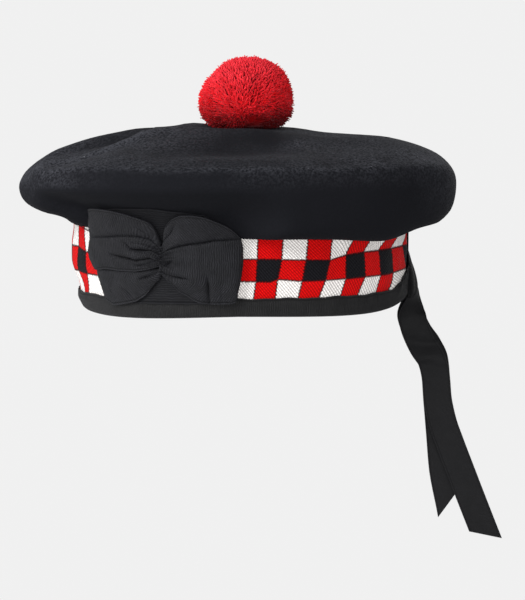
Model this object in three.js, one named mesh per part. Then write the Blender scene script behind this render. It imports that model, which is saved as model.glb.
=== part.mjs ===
// Balmoral bonnet: a soft felted crown gathered into a diced headband, a ribbon binding round its
// lower edge, a ribbon cockade on the wearer's left, two ribbon tails at the back and a pompom.
// Millimetres. +X points to the back of the hat, -Y to the wearer's left side, +Z up.
// The origin is the middle of the head opening, level with the lower edge of the binding.
import * as THREE from 'three';

// ---- Headband and its layers --------------------------------------------------------------------
const BAND_HALF_LENGTH = 100;     // middle to the outer face of the dicing, front and back
const BAND_HALF_WIDTH = 86;       // the same, left and right
const BAND_HEIGHT = 44;           // lower edge of the hat to the top of the dicing
const FELT = 2.0;                 // thickness of the felted crown
const TAPE = 1.0;                 // thickness of the woven diced tape
const RIBBON = 1.0;               // thickness of the grosgrain ribbon
const SEAM_GAP = 0.3;             // clearance between pieces that are sewn together
const BINDING_HEIGHT = 10;        // half of the ribbon that is folded over the lower edge
const BACK_LIFT = 5;              // how far the lower edge rises at the nape
const FRONT_DROP = 2.5;           // how far it drops at the forehead
const FULLEST_HEIGHT = 28;        // height where the front of the band stands out the most
const FRONT_TUCK_BELOW = 3.4;     // how far the front tucks in below that
const FRONT_ROLL_IN = 2.5;        // how much further the lower edge rolls in
const FRONT_TUCK_ABOVE = 3;       // how far the front tucks in at the top of the dicing

// ---- Crown: one row for each level, from under the overhang to the middle of the top ------------
// front, left, back and right: distance from the middle; the last four columns: height there
const CROWN_LEVELS = [
  { at: 'turn', front: 98.2, left: 87, back: 101.5, right: 87, zf: 47, zl: 46, zb: 46.2, zr: 46 },
  { at: 'underside', front: 112.2, left: 101, back: 113, right: 101, zf: 51.6, zl: 43.6, zb: 46.6, zr: 45 },
  { at: 'lower roll', front: 125, left: 112, back: 122.8, right: 112, zf: 57.8, zl: 49.5, zb: 49.5, zr: 51.5 },
  { at: 'below rim', front: 129.6, left: 117.5, back: 127.5, right: 117, zf: 62.5, zl: 59.5, zb: 58.5, zr: 60.5 },
  { at: 'rim', front: 131, left: 119, back: 129, right: 118, zf: 67.5, zl: 70, zb: 69, zr: 70 },
  { at: 'above rim', front: 129.8, left: 117, back: 128.3, right: 117, zf: 73, zl: 78, zb: 76, zr: 77.5 },
  { at: 'shoulder', front: 124.4, left: 111.5, back: 124, right: 112, zf: 79.5, zl: 84.5, zb: 82.7, zr: 84 },
  { at: 'ridge', front: 113.5, left: 103, back: 114.5, right: 103, zf: 87, zl: 88, zb: 89.5, zr: 88.5 },
  { at: 'outer top', front: 97, left: 88, back: 99.5, right: 89, zf: 93.8, zl: 90, zb: 94.6, zr: 92.5 },
  { at: 'trough', front: 77.2, left: 69, back: 80, right: 70, zf: 99, zl: 93, zb: 98.2, zr: 95.5 },
  { at: 'inner top', front: 56, left: 49, back: 58, right: 50, zf: 103, zl: 97.5, zb: 99.8, zr: 98.5 },
  { at: 'dome', front: 34, left: 30, back: 36, right: 30, zf: 104.4, zl: 101, zb: 101.6, zr: 101 },
  { at: 'seat edge', front: 17, left: 14, back: 19, right: 14, zf: 101.8, zl: 101.7, zb: 101.7, zr: 101.7 },
];
const CROWN_PEAK = 101.6;         // height of the top, in the shallow seat under the pompom
// Places where the overhang sags: angle round from the back, how far it spreads, how far it drops
const CROWN_SAGS = [
  { sag: 'back left',  angle: 317, spread: 24, drop: 4.2 },
  { sag: 'back right', angle: 43,  spread: 24, drop: 2 },
];
const SIDES = 60;                 // facets round the crown and its bands
const BAND_ROWS = [4, BINDING_HEIGHT, 18, FULLEST_HEIGHT]; // heights shared by all of the band's layers

// Long soft folds pressed into the top: from one end to the other, how wide, and how high or deep
const CROWN_FOLDS = [
  { fold: 'front valley', x0: -135, y0: 10,  x1: -45, y1: 18,  width: 17, rise: -7 },
  { fold: 'front ridge',  x0: -130, y0: -22, x1: -50, y1: -16, width: 15, rise: 2.5 },
];

// ---- Cockade: a ribbon bow on its backing, on the wearer's left, forward of the side seam -------
const COCKADE_ANGLE = 244;        // degrees round the band from the back
const COCKADE_LEAN = 12;          // how far its top stands out from the band line
const COCKADE_LEAN_START = 34;    // height where it begins to lean out
const COCKADE_LEAN_SPAN = 26;     // height over which it leans out that far
const COCKADE_OUT = 1.7;          // inner face of the backing, from the face of the dicing
const PRESS_CLEARANCE = 1.2;      // room between the backing and the felt that it presses in
const LEAF_SPACING = 6.5;         // distance between a leaf's rows
// along: distance round the band from the knot; bottom and top: heights; arch: how far it puffs out
const BACKING = [
  { along: -38, bottom: 13,  top: 58.3, arch: 0 },
  { along: -20, bottom: 7.5, top: 59.8, arch: 0 },
  { along: 0,   bottom: 7.5, top: 60.8, arch: 0 },
  { along: 12,  bottom: 7.5, top: 59.4, arch: 0 },
  { along: 28,  bottom: 7.5, top: 57.8, arch: 0 },
  { along: 38,  bottom: 7.5, top: 52,   arch: 0 },
  { along: 45,  bottom: 9,   top: 45.5, arch: 0 },
];
const LEFT_LOOP = [
  { along: -2,  bottom: 26.5, top: 38,   arch: 1.5 },
  { along: -5,  bottom: 25,   top: 50,   arch: 3.5 },
  { along: -11, bottom: 24,   top: 54.8, arch: 4.5 },
  { along: -23, bottom: 23.6, top: 57.6, arch: 5 },
  { along: -36, bottom: 23.5, top: 58.6, arch: 4 },
  { along: -45, bottom: 24,   top: 51,   arch: 2.5 },
  { along: -52, bottom: 30,   top: 38,   arch: 1 },
];
const RIGHT_LOOP = [
  { along: 2,   bottom: 24,   top: 38,   arch: 1.5 },
  { along: 7.5, bottom: 18,   top: 52.2, arch: 4 },
  { along: 12,  bottom: 14.5, top: 55.2, arch: 5 },
  { along: 21,  bottom: 8,    top: 56.8, arch: 6 },
  { along: 37,  bottom: 8,    top: 52,   arch: 5 },
  { along: 45,  bottom: 10,   top: 45.5, arch: 3 },
  { along: 48,  bottom: 25,   top: 39,   arch: 1 },
];
const LEFT_END = [
  { along: -2,  bottom: 20,   top: 23,   arch: 1 },
  { along: -10, bottom: 10.2, top: 22.6, arch: 1.5 },
  { along: -17, bottom: 6.5,  top: 22.8, arch: 2 },
  { along: -33, bottom: 5,    top: 22.8, arch: 2 },
  { along: -39, bottom: 12,   top: 22.8, arch: 1.5 },
  { along: -43, bottom: 18.5, top: 22.5, arch: 1 },
];
const GATHER = { halfWidth: 1.5, bottom: 25, top: 37.5, depth: 4 };

// ---- Back: ribbon over the band's seam, a folded knot, and two hanging tails --------------------
const STRAP_HALF_WIDTH = 8.5;
const STRAP_SPREAD = 3.6;         // how far the strap's lower end stands off
const KNOT_DEPTH = 4.8;
const TAIL_WIDTH = 17;
const TAIL_OFFSET = 1.2;          // each tail lies this far to its side of their shared route
// turn: how far the ribbon has turned from lying flat on the band (0) to facing the side (90);
// fan: how far the two tails have slid apart there
const TAIL_START = [
  { x: 104.2, z: 2.2,  turn: 25, fan: 0 },
  { x: 102.6, z: -2.5, turn: 42, fan: 0 },
  { x: 103.2, z: -9,   turn: 78, fan: 0 },
  { x: 106.6, z: -19,  turn: 90, fan: 1 },
  { x: 111.8, z: -28,  turn: 90, fan: 3 },
  { x: 116.2, z: -36,  turn: 90, fan: 1.5 },
  { x: 118.2, z: -47,  turn: 90, fan: 0.2 },
  { x: 119.2, z: -59,  turn: 90, fan: 0 },
];
const NEAR_TAIL_END = [
  { x: 122.2, z: -73,  turn: 90, fan: 0 },
  { x: 127.3, z: -87.5, turn: 90, fan: 0 },
  { x: 132.9, z: -102, turn: 90, fan: 0 },
  { x: 139.5, z: -119, turn: 90, fan: 0 },
  { x: 149,   z: -143, turn: 90, fan: 0 },
];
const FAR_TAIL_END = [
  { x: 120.1, z: -69,  turn: 90, fan: 0 },
  { x: 121.3, z: -83,  turn: 90, fan: 0 },
  { x: 123,   z: -102, turn: 90, fan: 0 },
  { x: 126.6, z: -121.5, turn: 90, fan: 0 },
];
const NEAR_TAIL_SKEW = 5.6;       // the outer corner of the slanting cut hangs this much lower
const FAR_TAIL_SKEW = -8;         // and here it hangs higher
const TAIL_COLUMNS = 2;

// ---- Pompom -------------------------------------------------------------------------------------
const POMPOM_MIDDLE = 4;          // along X
const POMPOM_PROFILE = [          // outline from the seat to the top: radius and height above the seat
  { radius: 13,   height: 0 },
  { radius: 20,   height: 2 },
  { radius: 26,   height: 7 },
  { radius: 29,   height: 14 },
  { radius: 28.6, height: 21 },
  { radius: 25.8, height: 29 },
  { radius: 19.8, height: 37 },
  { radius: 11,   height: 41.5 },
];
const POMPOM_HEIGHT = 43.2;
const POMPOM_SIDES = 24;

// ---- Colours ------------------------------------------------------------------------------------
const feltCloth = new THREE.MeshStandardMaterial({ color: 0x1b1c22, roughness: 0.95, metalness: 0 });
const dicedTape = new THREE.MeshStandardMaterial({ color: 0xb02020, roughness: 0.9, metalness: 0 });
const grosgrain = new THREE.MeshStandardMaterial({ color: 0x232426, roughness: 0.8, metalness: 0 });
const yarn = new THREE.MeshStandardMaterial({ color: 0xc8142a, roughness: 0.95, metalness: 0 });

const TURN = Math.PI * 2;
const radians = THREE.MathUtils.degToRad;
const count = (length) => [...Array(length).keys()];
const smoothRamp = (from, to, value) => THREE.MathUtils.smoothstep(value, from, to);

// ---- Places on the headband ---------------------------------------------------------------------

/** A point on the band: angle from the back, height up the band, distance out from its face. */
function bandPoint(angle, height, out) {
  const [frontness, backness] = [Math.max(0, -Math.cos(angle)), Math.max(0, Math.cos(angle)) ** 12];
  const above = Math.max(0, height - FULLEST_HEIGHT) / (BAND_HEIGHT - FULLEST_HEIGHT);
  const tuck = frontness ** 2 * (FRONT_TUCK_BELOW * (1 - smoothRamp(12, FULLEST_HEIGHT - 1, height))
    + FRONT_ROLL_IN * (1 - smoothRamp(0, 7, height)) + FRONT_TUCK_ABOVE * Math.min(above, 1) ** 2);
  const lift = (BACK_LIFT * backness - FRONT_DROP * frontness) * Math.max(0, 1 - height / BAND_HEIGHT);
  const normal = new THREE.Vector2(
    Math.cos(angle) / BAND_HALF_LENGTH, Math.sin(angle) / BAND_HALF_WIDTH).normalize();
  return new THREE.Vector3(
    BAND_HALF_LENGTH * Math.cos(angle) + normal.x * (out - tuck),
    BAND_HALF_WIDTH * Math.sin(angle) + normal.y * (out - tuck),
    height + lift);
}

/** The angle whose place on the band is this far round from the start angle. */
function angleAlong(start, distance) {
  const steps = 40;
  let angle = start;
  for (const step of count(steps)) {
    const slope = Math.hypot(BAND_HALF_LENGTH * Math.sin(angle), BAND_HALF_WIDTH * Math.cos(angle));
    angle += distance / steps / slope;
  }
  return angle;
}

/** A point of the cockade: distance round from the knot, height, distance out from the backing. */
function cockadePoint(along, height, out) {
  const angle = angleAlong(radians(COCKADE_ANGLE), along);
  const rise = Math.max(0, height - COCKADE_LEAN_START) / COCKADE_LEAN_SPAN;
  return bandPoint(angle, height, COCKADE_OUT + out + COCKADE_LEAN * rise ** 2);
}

// ---- Closed bodies ------------------------------------------------------------------------------

/** A closed body from points and triangles, turned so that its faces point out. */
function closedBody(points, triangles) {
  const volume = triangles.reduce((sum, [a, b, c]) =>
    sum + points[a].dot(new THREE.Vector3().crossVectors(points[b], points[c])), 0);
  const outward = volume > 0 ? triangles : triangles.map(([a, b, c]) => [a, c, b]);
  const geometry = new THREE.BufferGeometry();
  geometry.setAttribute('position', new THREE.Float32BufferAttribute(
    points.flatMap((point) => point.toArray()), 3));
  geometry.setIndex(outward.flat());
  geometry.computeVertexNormals();
  return geometry;
}

/** Triangles between two rings of the same length, whose points start at the two indices. */
function ringTriangles(first, second, sides) {
  return count(sides).flatMap((i) => {
    const j = (i + 1) % sides;
    return [[first + i, first + j, second + j], [first + i, second + j, second + i]];
  });
}

/** A body whose skin runs through the rings, closed at two poles, or on itself where there are none. */
function bodyOfRings(rings, poles = []) {
  const sides = rings[0].length;
  const points = rings.flat();
  const pairs = poles.length ? rings.length - 1 : rings.length;
  const triangles = count(pairs).flatMap((ring) =>
    ringTriangles(ring * sides, ((ring + 1) % rings.length) * sides, sides));
  if (poles.length) {
    const last = (rings.length - 1) * sides;
    const [first, end] = [points.length, points.length + 1];
    points.push(...poles);
    for (const i of count(sides)) {
      const j = (i + 1) % sides;
      triangles.push([first, j, i], [end, last + i, last + j]);
    }
  }
  return closedBody(points, triangles);
}

/** A thin body between a front and a back grid of points with the same rows and columns. */
function bodyBetween(front, back) {
  const columns = front[0].length;
  const backStart = front.length * columns;
  const points = [...front.flat(), ...back.flat()];
  const triangles = [];
  const quad = (a, b, c, d) => triangles.push([a, b, c], [a, c, d]);
  for (const row of count(front.length - 1)) {
    for (const column of count(columns - 1)) {
      const corner = row * columns + column;
      quad(corner, corner + 1, corner + columns + 1, corner + columns);
      quad(backStart + corner, backStart + corner + columns,
        backStart + corner + columns + 1, backStart + corner + 1);
    }
  }
  const edge = [
    ...count(columns).slice(0, -1),
    ...count(front.length).slice(0, -1).map((row) => row * columns + columns - 1),
    ...count(columns).slice(1).reverse().map((column) => (front.length - 1) * columns + column),
    ...count(front.length).slice(1).reverse().map((row) => row * columns),
  ];
  edge.forEach((corner, i) => {
    const next = edge[(i + 1) % edge.length];
    quad(corner, backStart + corner, backStart + next, next);
  });
  return closedBody(points, triangles);
}

/** A grid of points moved along its own surface normals. */
function offsetGrid(grid, distance) {
  const at = (row, column) => grid[THREE.MathUtils.clamp(row, 0, grid.length - 1)][
    THREE.MathUtils.clamp(column, 0, grid[0].length - 1)];
  return grid.map((points, row) => points.map((point, column) => {
    const down = at(row + 1, column).clone().sub(at(row - 1, column));
    const across = at(row, column + 1).clone().sub(at(row, column - 1));
    const normal = new THREE.Vector3().crossVectors(down, across).normalize();
    return point.clone().addScaledVector(normal, distance);
  }));
}

// ---- Crown --------------------------------------------------------------------------------------

/** How far the crown may stand out from the band at this height where the cockade is behind it. */
function cockadeRoom(height) {
  const rise = Math.max(0, height - COCKADE_LEAN_START) / COCKADE_LEAN_SPAN;
  const besideBacking = COCKADE_LEAN * rise ** 2 + COCKADE_OUT - PRESS_CLEARANCE;
  const released = smoothRamp(61, 72, height);
  return besideBacking + released * 40;
}

/** Pushes a point of the crown in where the cockade stands in front of it. */
function pressByCockade(point) {
  const angle = Math.atan2(point.y / BAND_HALF_WIDTH, point.x / BAND_HALF_LENGTH) + TURN;
  const degrees = THREE.MathUtils.radToDeg(angle);
  const inWindow = smoothRamp(208, 219, degrees) * (1 - smoothRamp(271, 281, degrees));
  const face = bandPoint(angle, BAND_HEIGHT, 0);
  const beyond = Math.hypot(point.x, point.y) - Math.hypot(face.x, face.y);
  const excess = Math.max(0, beyond - cockadeRoom(point.z)) * inWindow;
  const inward = 1 - excess / Math.hypot(point.x, point.y);
  return new THREE.Vector3(point.x * inward, point.y * inward, point.z);
}

/** The height that the long folds add at a place on the top. */
function foldRise(x, y) {
  return CROWN_FOLDS.reduce((sum, { x0, y0, x1, y1, width, rise }) => {
    const length = Math.hypot(x1 - x0, y1 - y0);
    const part = ((x - x0) * (x1 - x0) + (y - y0) * (y1 - y0)) / length ** 2;
    const aside = ((y - y0) * (x1 - x0) - (x - x0) * (y1 - y0)) / length / width;
    const ends = smoothRamp(-0.05, 0.3, part) * (1 - smoothRamp(0.6, 1.15, part));
    return sum + rise * ends * Math.exp(-(aside ** 2));
  }, 0);
}

/** How far the overhang sags at an angle, fading out towards the rim. */
function sagAt(angle, height) {
  const below = 1 - smoothRamp(48, 66, height);
  return CROWN_SAGS.reduce((sum, { angle: middle, spread, drop }) => {
    const aside = (THREE.MathUtils.radToDeg(angle) - middle) / spread;
    return sum + drop * below * Math.exp(-2 * aside ** 2);
  }, 0);
}

/** One ring of the crown's outer face, worked out from its level's reaches and heights. */
function crownRing(level) {
  return count(SIDES).map((side) => {
    const angle = (side / SIDES) * TURN;
    const [c, s] = [Math.cos(angle), Math.sin(angle)];
    const x = c * (c < 0 ? level.front : level.back);
    const y = s * (s < 0 ? level.left : level.right);
    const lengthwise = c < 0 ? level.zf : level.zb;
    const sideways = s < 0 ? level.zl : level.zr;
    const height = lengthwise * c * c + sideways * s * s;
    const fold = smoothRamp(76, 88, height) * foldRise(x, y);
    const sag = level.at === 'turn' ? 0 : sagAt(angle, height);
    return pressByCockade(new THREE.Vector3(x, y, height + fold - sag));
  });
}

function makeCrown() {
  const neckOut = -(TAPE + SEAM_GAP);
  const neckHeights = [RIBBON + SEAM_GAP, ...BAND_ROWS, BAND_HEIGHT];
  const neckRings = (heights, out) => heights.map((height) => count(SIDES).map((side) =>
    bandPoint((side / SIDES) * TURN, height, out)));
  const outer = [...neckRings(neckHeights, neckOut), ...CROWN_LEVELS.map(crownRing)];
  const wrapped = outer.map((ring) => [ring.at(-1), ...ring, ring[0]]);
  const inside = offsetGrid(wrapped, FELT).map((ring) => ring.slice(1, -1));
  const straight = neckHeights.slice(0, -1);
  const inner = [...neckRings(straight, neckOut - FELT), ...inside.slice(straight.length)];
  const top = new THREE.Vector3(0, 0, CROWN_PEAK);
  const under = new THREE.Vector3(0, 0, CROWN_PEAK - FELT);
  return bodyOfRings([...outer.toReversed(), ...inner], [top, under]);
}

// ---- Bands --------------------------------------------------------------------------------------

/** A ring body round the band; its section is a list of height and distance out. */
function bandRing(section) {
  return bodyOfRings(section.map(([height, out]) => count(SIDES).map((side) =>
    bandPoint((side / SIDES) * TURN, height, out))));
}

function makeDicing() {
  const heights = [RIBBON + SEAM_GAP, ...BAND_ROWS, BAND_HEIGHT - 1];
  return bandRing([
    ...heights.map((height) => [height, 0]),
    ...heights.toReversed().map((height) => [height, -TAPE]),
  ]);
}

function makeBinding() {
  const outerFace = SEAM_GAP + RIBBON;
  const innerLeaf = -(TAPE + SEAM_GAP + FELT + SEAM_GAP);
  const rows = [4, BINDING_HEIGHT];
  const leaf = (lowest, out) => [lowest, ...rows].map((height) => [height, out]);
  return bandRing([
    ...leaf(0, outerFace), ...leaf(RIBBON, SEAM_GAP).toReversed(),
    ...leaf(RIBBON, innerLeaf), ...leaf(0, innerLeaf - RIBBON).toReversed(),
  ]);
}

// ---- Cockade ------------------------------------------------------------------------------------

/** The same table with rows added so that none is further along than the spacing from the next. */
function refined(rows, spacing) {
  return rows.flatMap((row, i) => {
    if (i === 0) return [row];
    const before = rows[i - 1];
    const steps = Math.ceil(Math.abs(row.along - before.along) / spacing);
    return count(steps).map((step) => Object.fromEntries(Object.keys(row).map((key) =>
      [key, THREE.MathUtils.lerp(before[key], row[key], (step + 1) / steps)])));
  });
}

/** A ribbon leaf of the cockade, arched between its lower and upper edge. */
function makeLeaf(rows, out, columns) {
  const face = (shift) => refined(rows, LEAF_SPACING).map(({ along, bottom, top, arch }) =>
    count(columns + 1).map((column) => {
      const part = column / columns;
      const height = THREE.MathUtils.lerp(bottom, top, part);
      return cockadePoint(along, height, out + shift + arch * Math.sin(Math.PI * part));
    }));
  return bodyBetween(face(RIBBON), face(0));
}

function makeGather(out) {
  const { halfWidth, bottom, top, depth } = GATHER;
  const face = (outward) => [-halfWidth, 0, halfWidth].map((along) =>
    [bottom, (bottom + top) / 2, top].map((height) => {
      const crest = along === 0 ? outward : 0.75 * outward;
      return cockadePoint(along, height, out + crest);
    }));
  return bodyBetween(face(depth), face(0));
}

// ---- Back strap, knot and tails -----------------------------------------------------------------

/** A point at the back of the band, at a sideways distance from the seam. */
function backPoint(sideways, height, out) {
  return bandPoint(angleAlong(0, sideways), height, out);
}

function makeStrap() {
  const outAt = (height) => SEAM_GAP + 0.1 + STRAP_SPREAD * (1 - smoothRamp(10, 30, height));
  const face = (shift) => [BAND_HEIGHT - 2.5, 34, 25, 17, BINDING_HEIGHT + 1.2].map((height) =>
    [-STRAP_HALF_WIDTH, 0, STRAP_HALF_WIDTH].map((sideways) =>
      backPoint(sideways, height, outAt(height) + shift)));
  return bodyBetween(face(RIBBON), face(0));
}

function makeKnot() {
  const out = 2 * SEAM_GAP + RIBBON;
  const face = (depths) => [BINDING_HEIGHT + 0.8, 8, 5, 2, -1.2].map((height, row) =>
    [-STRAP_HALF_WIDTH - 0.8, 0, STRAP_HALF_WIDTH + 0.8].map((sideways) =>
      backPoint(sideways, height, out + depths[row])));
  return bodyBetween(face([1.8, KNOT_DEPTH, KNOT_DEPTH, KNOT_DEPTH - 0.6, 1.8]), face([0, 0, 0, 0, 0]));
}

/** A hanging ribbon through the rows of its route; the last row is cut on a slant. */
function makeTail(route, side, skew) {
  const middle = route.map(({ x, z, fan }) => new THREE.Vector3(x + (side * fan) / 2, 0, z));
  const grid = route.map(({ turn }, row) => {
    const before = middle[Math.max(row - 1, 0)];
    const after = middle[Math.min(row + 1, route.length - 1)];
    const down = after.clone().sub(before).normalize();
    const onFace = new THREE.Vector3(-down.z, 0, down.x);
    const across = new THREE.Vector3(0, Math.cos(radians(turn)), 0).addScaledVector(
      onFace, Math.sin(radians(turn)));
    const normal = new THREE.Vector3().crossVectors(across, down).normalize();
    const slant = row === route.length - 1 ? skew : 0;
    return count(TAIL_COLUMNS + 1).map((column) => {
      const part = (2 * column) / TAIL_COLUMNS - 1;
      return middle[row].clone().addScaledVector(across, (part * TAIL_WIDTH) / 2)
        .addScaledVector(normal, side * TAIL_OFFSET).addScaledVector(down, part * slant);
    });
  });
  return bodyBetween(offsetGrid(grid, RIBBON / 2), offsetGrid(grid, -RIBBON / 2));
}

// ---- Pompom -------------------------------------------------------------------------------------

function makePompom() {
  const outline = [new THREE.Vector2(0, 0),
    ...POMPOM_PROFILE.map(({ radius, height }) => new THREE.Vector2(radius, height)),
    new THREE.Vector2(0, POMPOM_HEIGHT)];
  return new THREE.LatheGeometry(outline, POMPOM_SIDES).rotateX(Math.PI / 2);
}

// ---- Assembly -----------------------------------------------------------------------------------

const bonnet = new THREE.Group();

function addPiece(name, geometry, material) {
  const piece = new THREE.Mesh(geometry, material);
  piece.name = name;
  bonnet.add(piece);
  return piece;
}

const onBacking = RIBBON + 2 * SEAM_GAP;
addPiece('crown', makeCrown(), feltCloth);
addPiece('diced_band', makeDicing(), dicedTape);
addPiece('binding', makeBinding(), grosgrain);
addPiece('cockade_backing', makeLeaf(BACKING, 0, 6), grosgrain);
addPiece('bow_left_loop', makeLeaf(LEFT_LOOP, onBacking, 6), grosgrain);
addPiece('bow_right_loop', makeLeaf(RIGHT_LOOP, onBacking, 6), grosgrain);
addPiece('bow_left_end', makeLeaf(LEFT_END, onBacking, 4), grosgrain);
addPiece('bow_gather', makeGather(onBacking), grosgrain);
addPiece('back_strap', makeStrap(), grosgrain);
addPiece('back_knot', makeKnot(), grosgrain);
addPiece('tail_near', makeTail([...TAIL_START, ...NEAR_TAIL_END], -1, NEAR_TAIL_SKEW), grosgrain);
addPiece('tail_far', makeTail([...TAIL_START, ...FAR_TAIL_END], 1, FAR_TAIL_SKEW), grosgrain);
addPiece('pompom', makePompom(), yarn)
  .position.set(POMPOM_MIDDLE, 0, CROWN_PEAK + 1.5 * SEAM_GAP);

export default bonnet;
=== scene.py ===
"""The looks of the balmoral bonnet, made around its construction model. Metres, +Z up.

+X points to the back of the hat and -Y to the wearer's left side. The origin is the middle of the
head opening, level with the lower edge of the binding.
"""
import math

import bpy
import numpy as np
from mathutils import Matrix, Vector, noise


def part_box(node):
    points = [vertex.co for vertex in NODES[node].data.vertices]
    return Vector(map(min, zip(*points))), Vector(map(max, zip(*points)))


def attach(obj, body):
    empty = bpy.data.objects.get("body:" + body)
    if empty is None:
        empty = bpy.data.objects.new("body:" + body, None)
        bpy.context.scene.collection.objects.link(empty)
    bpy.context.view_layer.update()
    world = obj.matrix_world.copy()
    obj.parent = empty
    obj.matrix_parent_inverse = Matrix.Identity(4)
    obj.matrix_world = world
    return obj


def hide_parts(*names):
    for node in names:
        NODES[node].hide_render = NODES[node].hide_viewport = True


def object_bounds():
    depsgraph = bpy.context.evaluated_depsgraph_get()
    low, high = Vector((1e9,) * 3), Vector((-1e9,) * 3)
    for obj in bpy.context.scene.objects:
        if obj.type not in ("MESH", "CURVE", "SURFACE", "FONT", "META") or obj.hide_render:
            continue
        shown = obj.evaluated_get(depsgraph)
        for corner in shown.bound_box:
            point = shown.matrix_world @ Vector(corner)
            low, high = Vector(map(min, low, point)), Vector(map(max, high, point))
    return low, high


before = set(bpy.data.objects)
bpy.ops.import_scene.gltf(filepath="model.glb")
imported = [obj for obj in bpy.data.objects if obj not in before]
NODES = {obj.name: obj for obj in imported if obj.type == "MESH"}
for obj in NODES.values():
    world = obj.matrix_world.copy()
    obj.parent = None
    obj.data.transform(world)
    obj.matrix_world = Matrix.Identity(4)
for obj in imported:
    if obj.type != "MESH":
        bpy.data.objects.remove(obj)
cad_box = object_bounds()

NOT_LENGTHS = ("joint", "turn", "lint")


def table(columns, *rows):
    """Columns by name. Lengths are written in millimetres here and kept in metres."""
    return {name: [np.divide(line, 1000) for line in values] if name == "line"
            else np.divide(values, 1 if name in NOT_LENGTHS else 1000)
            for name, values in zip(columns.split(), zip(*rows))}


def each(columns):
    """A table row by row."""
    return zip(*columns.values())


# ---- Headband
BAND_HALF_LENGTH = 0.100  # middle to the face of the dicing, front and back
BAND_HALF_WIDTH = 0.086  # the same, left and right
BAND_HEIGHT = 0.044
FULLEST_HEIGHT = 0.028  # where the front of the band stands out the most
FRONT_TUCK_BELOW = 0.0048
FRONT_ROLL_IN = 0.0025
FRONT_TUCK_ABOVE = 0.0012
BACK_LIFT = 0.005  # how far the lower edge rises at the nape
FRONT_DROP = 0.0025  # how far it drops at the forehead
EDGE_DROP = 0.0006  # how far the binding hangs lower all round
EDGE_SAG = 0.0014  # how far more it sags between the front, the sides and the back
TAPE = 0.001  # thickness of the diced tape
RIBBON = 0.0007  # thickness of the ribbon
SEAM_GAP = 0.0003
TAPE_BOTTOM = 0.0013
TAPE_TOP = 0.0457
TAPE_FRONT_TOP = 0.0011  # how much higher its top edge is at the forehead
BINDING_HEIGHT = 0.010
BINDING_OUT = 0.0013  # outer face of the binding, from the face of the dicing
BINDING_IN = -0.0046  # its face inside the hat
BINDING_CORNER = 0.0021  # radius of its fold under the edge
BINDING_SHADE = 0.78  # how dark it is at the back seam, as if deep in a fold, from 0 to 1
BINDING_SHADE_ENDS = (0.004, 0.120)  # distances from the seam between which that fades
# Waves round the band: how high, how many to the round, and how far on they start
TAPE_PUCKERS = ((0.00022, 23, 1.0), (0.00016, 37, 2.4))
BINDING_EASE = ((0.00016, 31, 0.0), (0.00014, 17, 0.6))
BINDING_CURL = ((0.00022, 19, 1.3), (0.00016, 43, 0.0))

# ---- Dicing
SQUARE = 0.0139  # width of a square
SQUARE_HEIGHT = 0.0120
STITCH = 0.0019
DICING_START = 0.0076  # height of the lower edge of the first row
LOW_CROSSING = 0.0096  # heights of the lowest and highest crossings below
HIGH_CROSSING = 0.043
# Where the joints between squares cross each height, as distances round from the wearer's left:
# the tape is pulled askew where it is sewn in. Between them the squares are spaced evenly.
JOINTS = table(
    "joint bottom lower upper top",
    (-10, -116.8, -119.3, -117.2, -118), (-9, -110, -104.5, -104.5, -108),
    (-8, -86.2, -89, -89, -88), (0, 9, 10.5, 11.2, 11.5), (1, 21.3, 22.7, 25, 25.7),
    (2, 34.7, 37.2, 39.5, 40.7), (3, 47.3, 51.3, 54.4, 56), (4, 61.2, 65.2, 64.3, 72),
    (5, 73.4, 79.5, 76.9, 87), (6, 88.5, 93.1, 89.8, 103.5), (7, 100.9, 107.8, 102.9, 116.5),
    (8, 140, 134, 119, 133))
# Heights of the two lines between the three rows, at distances round from the same place
ROW_LINES = table(
    "along lower upper",
    (-300, 19.6, 31.6), (-140, 21.3, 35), (-118, 21.6, 35.3), (-104, 20.9, 33.1), (-96, 20.6, 33),
    (0, 19.7, 32.1), (18, 19.1, 31.9), (22, 20.7, 31.7), (36, 19.2, 31.2), (54, 19.3, 30.4),
    (64, 19.4, 33.1), (77, 19.7, 34.2), (115, 19.2, 34.6), (146, 17.5, 33.5))

# ---- Cockade
COCKADE_ANGLE = 244  # degrees round the band from the back to the middle of its backing
COCKADE_LEAN = 0.012  # how far its top stands out from the band line
COCKADE_LEAN_START = 0.034
COCKADE_LEAN_SPAN = 0.026
COCKADE_OUT = 0.0017  # inner face of the backing, from the face of the dicing
LAYER_ON_BACKING = 0.0016  # inner face of the bow, from the inner face of the backing
LOOP_TURN = 0.0011  # room inside a loop
LOOP_END = 0.95  # share of a loop's length where its end begins to close
PINCH_ALONG = 0.0025  # where the bow is drawn together
PINCH_HEIGHT = 0.0315
GATHER_FLAT = (0.010, 0.0130)
# along: distance round the band from the middle of the backing; bottom and top: heights; arch: how
# far the ribbon puffs out
BACKING = table(
    "along bottom top arch",
    (-35, 13, 57.5, 0), (-20, 7.5, 59.4, 0), (0, 7.5, 60.2, 0), (12, 7.5, 58.8, 0),
    (28, 7.5, 56.8, 0), (38, 7.5, 51, 0), (45, 9, 44.8, 0))
LEFT_LOOP = table(
    "along bottom top arch",
    (3, 29, 40.6, 0.6), (2, 28.4, 43.8, 1.2), (1, 27.8, 48.4, 1.6), (-0.8, 27.2, 51.6, 2.2),
    (-2.7, 26.6, 52.9, 2.7), (-5.7, 26, 54.2, 3.3), (-9.4, 25.3, 55.4, 3.8), (-13.5, 24.8, 56.7, 4),
    (-21.6, 24.8, 58.6, 4), (-32, 25.3, 59.3, 3.4), (-35.7, 25, 58.8, 3), (-38.7, 24.5, 54.8, 2.7),
    (-41.3, 24.3, 52, 2.4), (-44.2, 26.8, 47.8, 1.8), (-45.2, 28, 42.4, 1.4),
    (-47.2, 30.4, 39.2, 1.1), (-49.2, 33.4, 34.8, 0.8))
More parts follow.
